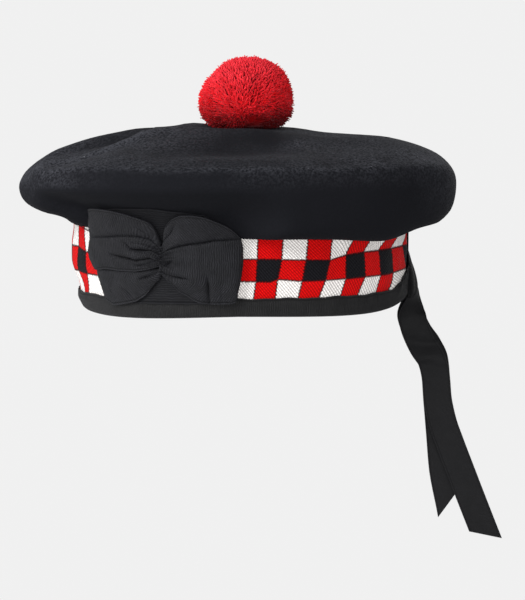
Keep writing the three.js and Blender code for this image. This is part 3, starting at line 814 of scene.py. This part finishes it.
# ---- Crown
def rounded_points(piece, cage):
    """Where the cage's own corners end up once the piece is subdivided."""
    set_positions(piece.data, cage)
    bpy.context.view_layer.update()
    smooth = piece.evaluated_get(bpy.context.evaluated_depsgraph_get())
    return read_vectors(smooth.data.vertices)[:len(cage)]


def fold_marks(points):
    """How much each fold counts at each point, folds down the rows."""
    marks = []
    for line, width in zip(TOP_FOLDS["line"], TOP_FOLDS["width"]):
        gap, share, _ = nearest_on(line, np.arange(len(line)), points[:, 0], points[:, 1])
        marks.append(near(gap, 0, width) * arch(share * 0.94 + 0.06) ** 0.5)
    return np.array(marks)


def shoulder_shift(points):
    """The near rim's shoulder, drawn out and up so that the wall turns over higher."""
    across = unit(points[:, :2] / CROWN_HALF_SIZE**2, 1e-9)
    amount = ramp(0.10, 0.60, -across[:, 1]) * near(
        points[:, 2], SHOULDER_HEIGHT, np.where(points[:, 2] > SHOULDER_HEIGHT, 0.0036, 0.0060))
    shift = np.column_stack([across, np.full(len(across), SHOULDER_UP)])
    return SHOULDER_OUT * shift * amount[:, None]


def make_crown():
    """The felt crown: the construction's own wall, rounded, with the unevenness of soft felt."""
    piece = add_object("felt_crown", NODES["crown"].data.copy())
    only(piece)
    bpy.ops.object.mode_set(mode="EDIT")
    bpy.ops.mesh.select_all(action="SELECT")
    bpy.ops.mesh.remove_doubles(threshold=0.00001)
    bpy.ops.mesh.tris_convert_to_quads(
        face_threshold=math.radians(60), shape_threshold=math.radians(60))
    bpy.ops.object.mode_set(mode="OBJECT")
    # the cage is drawn outward until the rounded wall passes through the construction's corners
    corners = read_vectors(piece.data.vertices)
    preview = piece.modifiers.new("Subsurf", "SUBSURF")
    cage = corners.copy()
    for _ in range(3):
        cage += 0.9 * (corners - rounded_points(piece, cage))
    set_positions(piece.data, cage)
    piece.modifiers.remove(preview)
    apply_modifier(piece, "SUBSURF", levels=2, render_levels=2)
    points = read_vectors(piece.data.vertices)
    x, y, z = points.T  # views: the points move with them
    above = ramp(0.046, 0.060, z)
    uneven = soft_noise(points, 0.034) * 0.0008 + soft_noise(points, 0.013, 4.0) * 0.00035
    points += unit(points - CROWN_MIDDLE) * (uneven * above)[:, None]
    points += shoulder_shift(points)
    marks = fold_marks(points)
    z += TOP_FOLDS["rise"] @ marks * ramp(0.066, 0.082, z)
    # the wall turns in gradually above the cockade
    turning = near(x, 0.028, 0.015) * (y < 0)
    y += 0.0030 * turning * ramp(0.047, 0.054, z) * (1 - ramp(0.058, 0.070, z))
    # the underside sweeps up towards the front and the back
    z += swell(END_SWEEPS, x) * (1 - ramp(0.056, 0.072, z)) * above
    beyond = ramp(1.01, 1.07, np.hypot(x / BAND_HALF_LENGTH, y / BAND_HALF_WIDTH))
    z += swell(RIM_LIFTS, x) * beyond * (1 - ramp(0.048, 0.062, z))
    for middle, rise, width in each(TOP_SWELLS):
        z += rise * near(x, middle, width) * ramp(0.066, 0.080, z)
    # the band's wall rolls in at the front, under the tape and the binding
    front = np.maximum(0, -x / BAND_HALF_LENGTH) ** 2 * (z < 0.030)
    x += 0.0016 * np.minimum(front, 1) * (1 - ramp(0.010, 0.027, z))
    set_positions(piece.data, points)
    # nap and lint where the felt faces up, at the front and back rims and along the folds, with
    # painted sheen and painted highlights there and painted shade in the fold valleys
    rise = read_vectors(piece.data.vertex_normals, "vector")[:, 2]
    nap_and_painted_light = (0.005 + 0.38 * ramp(0.40, 0.98, rise)
              + 0.30 * ramp(0.060, 0.124, -x) * ramp(-0.7, 0.7, rise)
              + 0.30 * ramp(0.095, 0.126, x) * ramp(-0.6, 0.3, rise)
              + 0.10 * ramp(0.070, 0.080, z) * ramp(-0.035, 0.030, x) * ramp(0.040, 0.080, -y)
              * (rise < 0.6)
              + TOP_FOLDS["lint"] @ marks * ramp(0.2, 0.6, rise)
              + 0.10 * soft_noise(points, 0.020, 8.0) * ramp(0.0, 0.5, rise))
    add_values(piece.data, "nap_and_painted_light", clamp(nap_and_painted_light))
    finish_piece(piece, FELT_MATERIAL, "crown", 80)
    return piece


# ---- Diced tape and binding
def waves(rows, turned):
    return sum(rise * np.sin(count * turned + start) for rise, count, start in rows)


def tape_at(along, across):
    """Distances from the back seam and from the wearer's left, angle and height on the tape."""
    distance = along * ROUND
    angle = angle_along(0, distance)
    top = TAPE_TOP + TAPE_FRONT_TOP * np.maximum(0, -np.cos(angle)) ** 2
    height = TAPE_BOTTOM + across * (top - TAPE_BOTTOM)
    return distance, distance + distance_to(0) - LEFT_SIDE, angle, height


def tape_place(along, across):
    """The tape goes once round the band, with a few soft puckers clear of the strap."""
    distance, from_left, angle, height = tape_at(along, across)
    free = ramp(0.011, 0.017, height) * (1 - ramp(0.038, 0.0436, height))
    turned = math.tau * along
    pucker = waves(TAPE_PUCKERS, turned) + 0.0002 * np.sin(11 * turned + height * 90)
    crease = 0.0010 * ramp(0.045, 0.075, from_left) * near(height, 0.031, 0.0060)
    clear = ramp(0.0095, 0.018, np.minimum(distance, ROUND - distance))
    return band_points(angle, height, free * (pucker + crease) * clear)


def tape_pattern(along, across):
    """Where each place of the tape is in the regular pattern of squares."""
    _, from_left, _, height = tape_at(along, across)
    lower, upper = (np.interp(from_left, ROW_LINES["along"], ROW_LINES[line])
                    for line in ("lower", "upper"))
    heights = [LOW_CROSSING, lower, upper, HIGH_CROSSING]
    known = []
    for line in ("bottom", "lower", "upper", "top"):
        crossing = JOINTS[line]
        beyond = np.minimum(from_left - crossing[0], 0) + np.maximum(from_left - crossing[-1], 0)
        known.append(np.interp(from_left, crossing, JOINTS["joint"]) + beyond / SQUARE)
    squares = known[0]
    for lowest, highest, first, last in zip(heights, heights[1:], known, known[1:]):
        part = clamp((height - lowest) / (highest - lowest))
        squares = np.where(height >= lowest, first + (last - first) * part, squares)
    rows = np.where(height < lower, (height - DICING_START) / (lower - DICING_START),
                    np.where(height < upper, 1 + (height - lower) / (upper - lower),
                             2 + (height - upper) / SQUARE_HEIGHT))
    return squares * SQUARE, rows * SQUARE_HEIGHT


def binding_section():
    """The binding's section: points of height and distance out, down the outside, round the lower
    edge and up the inside."""
    turn = np.linspace(0, math.pi / 2, 7)
    rest, gone = BINDING_CORNER * (1 - np.sin(turn)), BINDING_CORNER * (1 - np.cos(turn))
    return np.array([(BINDING_HEIGHT, BINDING_OUT), (BINDING_HEIGHT * 0.6, BINDING_OUT + 0.0002),
                     *zip(rest, BINDING_OUT - gone), *zip(gone, BINDING_IN + rest),
                     (BINDING_HEIGHT, BINDING_IN)])


SECTION = binding_section()
SECTION_AT = walked(SECTION)


def seam_distance(along):
    return np.minimum(along, 1 - along) * ROUND


def binding_place(along, across):
    """The ribbon is folded over the lower edge, and goes once round the hat."""
    height, out = (np.interp(across * SECTION_AT[-1], SECTION_AT, values) for values in SECTION.T)
    turned, from_seam = math.tau * along, seam_distance(along)
    edge = ramp(0.004, 0.010, height) * (out > 0)
    flare = clamp(1 - from_seam / FLARE_LENGTH)
    pleats = 0.0005 * ramp(0.0, 0.3, flare) * np.sin((from_seam + 1.1 * height) / 0.0016)
    rise = FLARE_HEIGHT * flare**1.5 * clamp(height / BINDING_HEIGHT) ** 1.4 * (out > 0)
    return band_points(turned, height + waves(BINDING_CURL, turned) * edge + rise,
                       out + (waves(BINDING_EASE, turned) + pleats) * edge)


# ---- Cockade
def outline(rows, part, key, cornered):
    """A value of the leaf's outline at a share of its length."""
    at = np.abs(rows["along"] - rows["along"][0])
    follow = np.interp if cornered else smooth_through
    return follow(part * at[-1], at, rows[key])


def from_pinch(along, height):
    return np.hypot(along - PINCH_ALONG, height - PINCH_HEIGHT)


def round_weave(along, height):
    """The ribs bend round the knot everywhere."""
    return from_pinch(along, height), height


def left_weave(along, height):
    """The left loop's ribs stand upright, and bend round the knot close to it."""
    round_knot, straight = from_pinch(along, height), np.abs(along - PINCH_ALONG)
    return straight + (round_knot - straight) * near(round_knot, 0, 0.018), height


def right_weave(along, height):
    """Upright ribs below the long crease, slanting ones above it, and round the knot low down."""
    above = ramp(-0.0004, 0.0004, height - np.interp(along, *RIGHT_CREASES["line"][0].T))
    round_knot, straight = from_pinch(along, height), np.abs(along - PINCH_ALONG)
    low = np.maximum(1 - ramp(0.010, 0.024, height), near(round_knot, 0, 0.012))
    slanting = 0.77 * (along - PINCH_ALONG) + 0.64 * (height - PINCH_HEIGHT)
    return above * slanting + (1 - above) * (straight + (round_knot - straight) * low), height


def leaf_face(rows, creases, part, across, gathers, cornered):
    """Flat place and depth of a leaf: arched across, creased, and gathered at the knot."""
    along, bottom, top, puff = (outline(rows, part, key, cornered) for key in rows)
    height = bottom + (top - bottom) * across
    bulge = arch(across)
    fan = np.arctan2(height - PINCH_HEIGHT, np.abs(along - PINCH_ALONG) + 0.003)
    pleats = gathers * np.exp(-from_pinch(along, height) / 0.012) * np.sin(fan * 11.0 + 1.0)
    flat = np.stack([along, height, np.zeros_like(height)], axis=-1)
    wrinkle = 0.00045 * soft_noise(flat, 0.008, 2.0) + 0.0002 * soft_noise(flat, 0.0032, 5.0)
    depth = (puff * (0.3 + 0.7 * bulge) + (pleats + wrinkle) * bulge**0.3
             - crease_depth(creases, along, height))
    return along, height, np.maximum(depth, 0.0002)


def make_leaf(name, node, rows, creases, cells, flat, weave, gathers=0.0014, out=LAYER_ON_BACKING,
              looped=True,
              material=BOW_MATERIAL):
    """A piece of the bow: a loop, out from the knot and back behind itself, or a single layer."""
    def layer(along, across):
        part = np.minimum(2 * along, 2 - 2 * along) if looped else along
        place_along, height, face = leaf_face(rows, creases, part, across, gathers, not looped)
        if looped:
            end = np.maximum(0, part - LOOP_END) / (1 - LOOP_END)
            raised = (LOOP_TURN + face) * np.sqrt(clamp(1 - end**2))
            face = RIBBON + np.where(along <= 0.5, raised, 0.0)
        return place_along, height, out + face

    def painted_shade(along, across):
        # painted shade in the creases and round the knot
        place_along, height, _ = layer(along, across)
        creased = ramp(0.0003, 0.0024, crease_depth(creases, place_along, height))
        knot = near(from_pinch(place_along, height), 0, 0.007)
        return clamp(0.75 * creased + 0.35 * knot, 0.9)

    cloth(name, node, flat, cells, lambda *at: cockade_points(*layer(*at)),
          material, pattern=lambda *at: weave(*layer(*at)[:2]), painted_shade=painted_shade, even=False,
          flip=rows["along"][-1] < rows["along"][0], thickness=RIBBON * (0.8 if looped else 1))


def gather_place(along, across):
    """The pinch of the bow: the ribbon's pleats drawn together and stitched."""
    side = (along - 0.5) * 0.0052 * (1 - 0.45 * arch(across)) + 0.0006 * np.sin(across * 9)
    bulge = arch(along) ** 0.6
    pleat = 0.0007 * np.sin(across * math.tau * 3.2 + along * 2.5) * bulge
    return cockade_points(PINCH_ALONG + side, 0.0240 + across * 0.0150,
                          LAYER_ON_BACKING + 0.0006 + 0.0020 * bulge + pleat)


def make_cockade():
    make_leaf("cockade_backing_ribbon", "cockade_backing", BACKING, BACKING_CREASES, (140, 90),
              (0.053, 0.083), lambda along, height: (height, along), 0.0, RIBBON, looped=False,
              material=SHADED_BACKING_MATERIAL)
    make_leaf("bow_loop_front", "bow_left_loop", LEFT_LOOP, LEFT_CREASES, (260, 90),
              (0.034, 0.102), left_weave)
    make_leaf("bow_loop_back", "bow_right_loop", RIGHT_LOOP, RIGHT_CREASES, (240, 120),
              (0.046, 0.092), right_weave)
    make_leaf("bow_lower_end", "bow_left_end", LEFT_END, END_CREASES, (110, 60), (0.019, 0.042),
              round_weave, 0.0004, LAYER_ON_BACKING + 0.0004, looped=False)
    cloth("bow_pinch", "bow_gather", GATHER_FLAT, (24, 70), gather_place,
          BOW_MATERIAL, width=GATHER_FLAT[1],
          pattern=lambda along, across: (along * 0.006, across * GATHER_FLAT[1]))


# ---- Back strap, knot and tails
def strap_place(along, across):
    """A length of ribbon over the band's seam at the back."""
    height = STRAP_TOP + (STRAP_BOTTOM - STRAP_TOP) * along
    spread = 0.0014 * (1 - ramp(0.014, 0.030, height))
    return back_points((2 * across - 1) * STRAP_HALF_WIDTH, height, SEAM_GAP + RIBBON + spread)


def knot_place(along, across):
    """The binding's ends, drawn together over the back seam; the tails come out under them."""
    heights = DRAWN_ENDS["height"]
    height = heights[-1] + (heights[0] - heights[-1]) * along
    half_width, peak = (smooth_through(height, heights, DRAWN_ENDS[key])
                        for key in ("half_width", "out"))
    part = 2 * across - 1
    rest = 0.0006 + 0.0006 * (1 - ramp(0.010, 0.026, height))
    pleats = 0.0005 * np.sin(part * 8.0 + along * 3.0) * arch(across) * ramp(0.05, 0.4, along)
    return back_points(half_width * part, height,
                       rest + (peak - rest) * (1 - part**2) ** 0.7 + pleats)


def make_tail(name, node, rows, side, skew):
    """A hanging ribbon, cut on a slant, with a slight curl and the ripples of its folding."""
    x, z, turns, fan = rows.values()
    known = np.stack([x + side * fan / 2, 0 * x, z], axis=-1)
    at = walked(known)
    length = at[-1]

    def middle_at(distance):
        return np.stack([smooth_through(distance, at, values) for values in known.T], axis=-1)

    def place(along, across):
        distance, part, step = along * length, 2 * across - 1, 0.002
        run = unit(middle_at(np.minimum(distance + step, length))
                   - middle_at(np.maximum(distance - step, 0.0)))
        turn = np.radians(smooth_through(distance, at, turns))
        over = np.stack(
            [-run[:, 2] * np.sin(turn), np.cos(turn), run[:, 0] * np.sin(turn)], axis=-1)
        off = side * TAIL_OFFSET + 0.0003 * part**2 * np.sin(distance * 60)
        for down, slope, rise, width in each(TAIL_RIPPLES):
            off += rise * near(distance, down + slope * part, width) * ramp(0.0, 0.02, distance)
        slant = skew * part * ramp(0.85, 1.0, along)
        return (middle_at(distance) + over * (part * TAIL_WIDTH / 2)[:, None]
                + unit(np.cross(over, run)) * off[:, None] + run * slant[:, None])

    cloth(name, node, (TAIL_WIDTH, round(length, 3)), (220, 24), place,
          TAIL_MATERIAL, side=0.0, thickness=RIBBON * 0.8,
          pattern=lambda along, across: (along * length, across * TAIL_WIDTH))


# ---- Pompom
def pompom_radius(direction):
    """Distance from the core to the outline in each direction."""
    heights = np.array([0.0, *POMPOM_PROFILE["height"], POMPOM_TOP]) - POMPOM_CORE_HEIGHT
    radii = np.array([0.0, *POMPOM_PROFILE["radius"], 0.0])
    across = np.hypot(direction[:, 0], direction[:, 1])
    return np.interp(np.arctan2(direction[:, 2], across), np.arctan2(heights, radii),
                     np.hypot(heights, radii))


def make_directions():
    """Directions spread evenly over a ball, with a little disorder."""
    index = np.arange(STRANDS) + 0.5
    rise = 1 - 2 * index / STRANDS
    turn = index * math.pi * (1 + 5**0.5)
    flat = np.sqrt(1 - rise**2)
    ball = np.stack([flat * np.cos(turn), flat * np.sin(turn), rise], axis=-1)
    return unit(ball + RANDOM.normal(0, 0.022, ball.shape))


def pressed_up(crown, points):
    """Points that would lie in the felt, moved up to its face."""
    for point in points:
        if point[2] < SEAT_TOP:
            above = Vector((point[0], point[1], 0.2))
            hit, where, _, _ = crown.ray_cast(above, Vector((0, 0, -1)))
            if hit:
                point[2] = max(point[2], where.z + STRAND_RADIUS)
    return points


def strand_lean(direction, tip):
    """How far each strand leans sideways, away from the partings and in tufts."""
    lean = np.zeros_like(tip)
    for *place, reach, amount in each(PARTINGS):
        away = tip - place
        distance = np.linalg.norm(away, axis=1)
        pull = amount * near(distance, 0, reach)
        lean += away / (distance[:, None] + 0.002) * pull[:, None]
    lean -= direction * (lean * direction).sum(1)[:, None]
    for size, amount in ((0.011, 0.0050), (0.0045, 0.0034)):
        tuft = np.stack([soft_noise(tip, size, seed) for seed in (1.0, 12.0, 31.0)], axis=-1)
        lean += tuft * amount
    return lean + RANDOM.normal(0, 0.0016, tip.shape)


def strand_mesh(core, root, tip):
    """Thin tubes from roots to tips, slightly bowed, each closed at both ends."""
    part = np.linspace(0, 1, STRAND_STEPS)[:, None]
    bow = RANDOM.normal(0, 0.0011, tip.shape)[:, None]
    line = root[:, None] * (1 - part) + tip[:, None] * part + bow * arch(part)
    run = unit(tip - root)
    first = unit(np.cross(run, RANDOM.normal(0, 1, run.shape)))
    ring = (np.arange(STRAND_SIDES) * math.tau / STRAND_SIDES)[:, None]
    around = (first[:, None] * np.cos(ring) + np.cross(run, first)[:, None] * np.sin(ring))
    thick = STRAND_RADIUS * np.array([0.9, 1.1, 0.85])[:, None, None]
    points = (line[:, :, None] + around[:, None] * thick).reshape(STRANDS, -1, 3)
    ends = tip + run * STRAND_RADIUS
    points = np.concatenate([points, ends[:, None]], axis=1)
    sides = [(i, (i + 1) % STRAND_SIDES) for i in range(STRAND_SIDES)]
    end = STRAND_STEPS * STRAND_SIDES
    faces = [(low + i, low + j, low + STRAND_SIDES + j, low + STRAND_SIDES + i)
             for low in range(0, end - STRAND_SIDES, STRAND_SIDES) for i, j in sides]
    faces += [(end - STRAND_SIDES + i, end - STRAND_SIDES + j, end) for i, j in sides]
    faces.append(tuple(reversed(range(STRAND_SIDES))))
    mesh = bpy.data.meshes.new("yarn_pompom")
    mesh.from_pydata((points.reshape(-1, 3) + core).tolist(), [], [
        tuple(base + k for k in face)
        for base in range(0, STRANDS * (end + 1), end + 1) for face in faces])
    along = [*np.repeat(part, STRAND_SIDES), 1.0]
    add_values(mesh, "strand_along", np.tile(along, STRANDS))
    return mesh


def make_pompom(crown):
    """Thousands of cut strands of yarn, drawn together at the core."""
    core = np.array([POMPOM_MIDDLE, 0.0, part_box("pompom")[0][2] + POMPOM_CORE_HEIGHT])
    direction = make_directions()
    lumps = 0.022 * soft_noise(direction, 0.55, 9.0) + 0.026 * soft_noise(direction, 0.17, 3.0)
    trimmed = np.exp(-(1 - direction @ TRIMMED_SIDE) / 0.08)
    reach = pompom_radius(direction) * (0.992 - 0.11 * trimmed + lumps
                                        + RANDOM.normal(0, 0.018, STRANDS))
    tip = direction * reach[:, None]
    lean = strand_lean(direction, tip)
    # the lowest strands at the near side stand clear of the felt
    lowest = 1 - ramp(0.001, 0.013, tip[:, 2] + POMPOM_CORE_HEIGHT)
    clear = np.interp(tip[:, 0], *POMPOM_LIFTS.values())
    clear += 0.0014 * soft_noise(direction, 0.2, 6.0)
    tip[:, 2] += lowest * ramp(0.0, 0.7, -direction[:, 1]) * clear
    tip = pressed_up(crown, tip + core) - core
    mesh = strand_mesh(core, tip * ROOT_SHARE - lean, tip)
    # painted shade: strands are darker low down, on the far side, in hollows, away from the light
    # and some at random; painted highlight on strands that face LIT_SIDE
    x, _, z = tip.T
    low = 1 - ramp(0.002, 0.017 + 0.007 * ramp(-0.004, 0.012, -x), z + POMPOM_CORE_HEIGHT)
    far_side = ramp(0.1, 1.0, (x - z * 0.9) / 0.030)
    hollow = 8.0 * clamp(-lumps, 0.03) + 0.36 * RANDOM.random(STRANDS) ** 2
    light = 1.16 - 0.84 * low - 0.34 * far_side - hollow
    shade = 0.45 * RANDOM.random(STRANDS) + 0.75 * ramp(0.20, 1.0, direction @ LIT_SIDE)
    for name, values in (("strand_shade", shade), ("strand_light", light)):
        add_values(mesh, name, np.repeat(clamp(values), len(mesh.vertices) // STRANDS))
    finish_piece(add_object("yarn_pompom", mesh), YARN_MATERIAL, "pompom", 180)
    make_pompom_core(core)


def make_pompom_core(core):
    """The dense heart of the pompom, seen only in the gaps between strands."""
    heart = add_primitive("pompom_heart", bpy.ops.mesh.primitive_ico_sphere_add, subdivisions=4,
                          radius=1.0)
    direction = unit(read_vectors(heart.data.vertices))
    reach = pompom_radius(direction) * HEART_SHARE
    set_positions(heart.data, core + direction * reach[:, None])
    # painted shade: the heart takes a dark colour like the strands' roots
    for name, value in (("strand_shade", 0.5), ("strand_along", 0.4), ("strand_light", 0.6)):
        add_values(heart.data, name, value)
    only(heart)
    bpy.ops.object.shade_smooth()
    heart.data.materials.append(YARN_MATERIAL)
    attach(heart, "root")


# ---- Stage
PALE = (0.874, 0.874, 0.874)  # tone of the floor and the surrounding light, as the camera sees them
FLOOR_HEIGHT = -0.30
FLOOR_RADIUS = 14.0
SURROUND_STRENGTH = 0.62  # of the light on the hat; the camera sees it at 1
CAMERA_DISTANCE = 1.3
CAMERA_ELEVATION = math.radians(6.0)
# Name, place, height of the aim above the origin, width and height, and power in watts
LAMPS = [
    ("key", (-1.20, -1.35, 0.95), 0.03, (0.9, 0.9), 36.0),
    ("side", (-1.8, -0.3, 0.4), 0.05, (0.8, 0.8), 19.0),
    ("fill", (0.30, -2.1, 0.02), 0.03, (1.6, 0.56), 31.0),
    ("behind", (0.8, 2.0, 0.7), 0.05, (1.2, 1.2), 13.0),
]


def make_floor():
    """A wide pale floor that runs into the surrounding light without a visible edge."""
    floor = add_primitive("floor", bpy.ops.mesh.primitive_circle_add, vertices=96,
                          radius=FLOOR_RADIUS, fill_type="NGON", location=(0.0, 0.0, FLOOR_HEIGHT))
    material, tree, shader = new_material("pale_floor")
    fill(shader, Base_Color=(0.60, 0.60, 0.60), Roughness=0.9)
    glow = new_node(tree, "Emission", {"Color": PALE, "Strength": 1.0})
    either = new_node(tree, "MixShader", {0: camera_rays(tree), 1: shader.outputs[0], 2: glow})
    fill(tree.nodes["Material Output"], Surface=either)
    floor.data.materials.append(material)


def make_surround():
    """Even light from all round."""
    world = bpy.data.worlds.new("studio")
    bpy.context.scene.world = world
    world.use_nodes = True
    tree = world.node_tree
    strength = remap(camera_rays(tree), 0.0, 1.0, SURROUND_STRENGTH, 1.0, smooth=False)
    fill(tree.nodes["Background"], Color=PALE, Strength=strength)


def make_lights():
    for name, place, aim, size, power in LAMPS:
        data = bpy.data.lights.new(name, "AREA")
        data.shape = "RECTANGLE"
        data.size, data.size_y = size
        data.energy = power
        lamp = add_object(name, data)
        lamp.location = place
        facing = Vector((0.0, 0.0, aim)) - Vector(place)
        lamp.rotation_euler = facing.to_track_quat("-Z", "Y").to_euler()


def make_camera():
    """A long lens a little above the hat, level with its left side."""
    data = bpy.data.cameras.new("camera")
    data.lens = 130.0
    data.sensor_width = 36.0
    camera = add_object("camera", data)
    aim = Vector(((cad_box[0].x + cad_box[1].x) / 2 - 0.0002, 0.0, 0.0))
    towards = Vector((0.0, -math.cos(CAMERA_ELEVATION), math.sin(CAMERA_ELEVATION)))
    camera.location = aim + CAMERA_DISTANCE * towards
    camera.rotation_euler = (math.radians(90.0) - CAMERA_ELEVATION, 0.0, 0.0)
    bpy.context.scene.camera = camera


def main():
    view = bpy.context.scene.view_settings
    view.view_transform = "Standard"
    view.look = "None"
    make_camera()
    make_floor()
    make_surround()
    make_lights()
    crown = make_crown()
    cloth("diced_tape", "diced_band", (TAPE_TOP - TAPE_BOTTOM, ROUND), (630, 24), tape_place,
          TAPE_MATERIAL, tape_pattern, joined=True,
          thickness=TAPE)
    cloth("ribbon_binding", "binding", (SECTION_AT[-1], ROUND), (420, 26), binding_place,
          BINDING_MATERIAL, joined=True, flip=True,
          painted_shade=lambda along, across: BINDING_SHADE * (
              1 - ramp(*BINDING_SHADE_ENDS, seam_distance(along))))
    make_cockade()
    cloth("back_strap_ribbon", "back_strap", (2 * STRAP_HALF_WIDTH, STRAP_LENGTH), (44, 22),
          strap_place, TAIL_MATERIAL, painted_shade=lambda *at: STRAP_SHADE)
    cloth("back_knot_ribbon", "back_knot", KNOT_FLAT, (70, 60), knot_place,
          BINDING_MATERIAL, painted_shade=lambda *at: KNOT_SHADE)
    make_tail("tail_near_ribbon", "tail_near", NEAR_TAIL, -1, NEAR_TAIL_SKEW)
    make_tail("tail_far_ribbon", "tail_far", FAR_TAIL, 1, FAR_TAIL_SKEW)
    make_pompom(crown)


main()
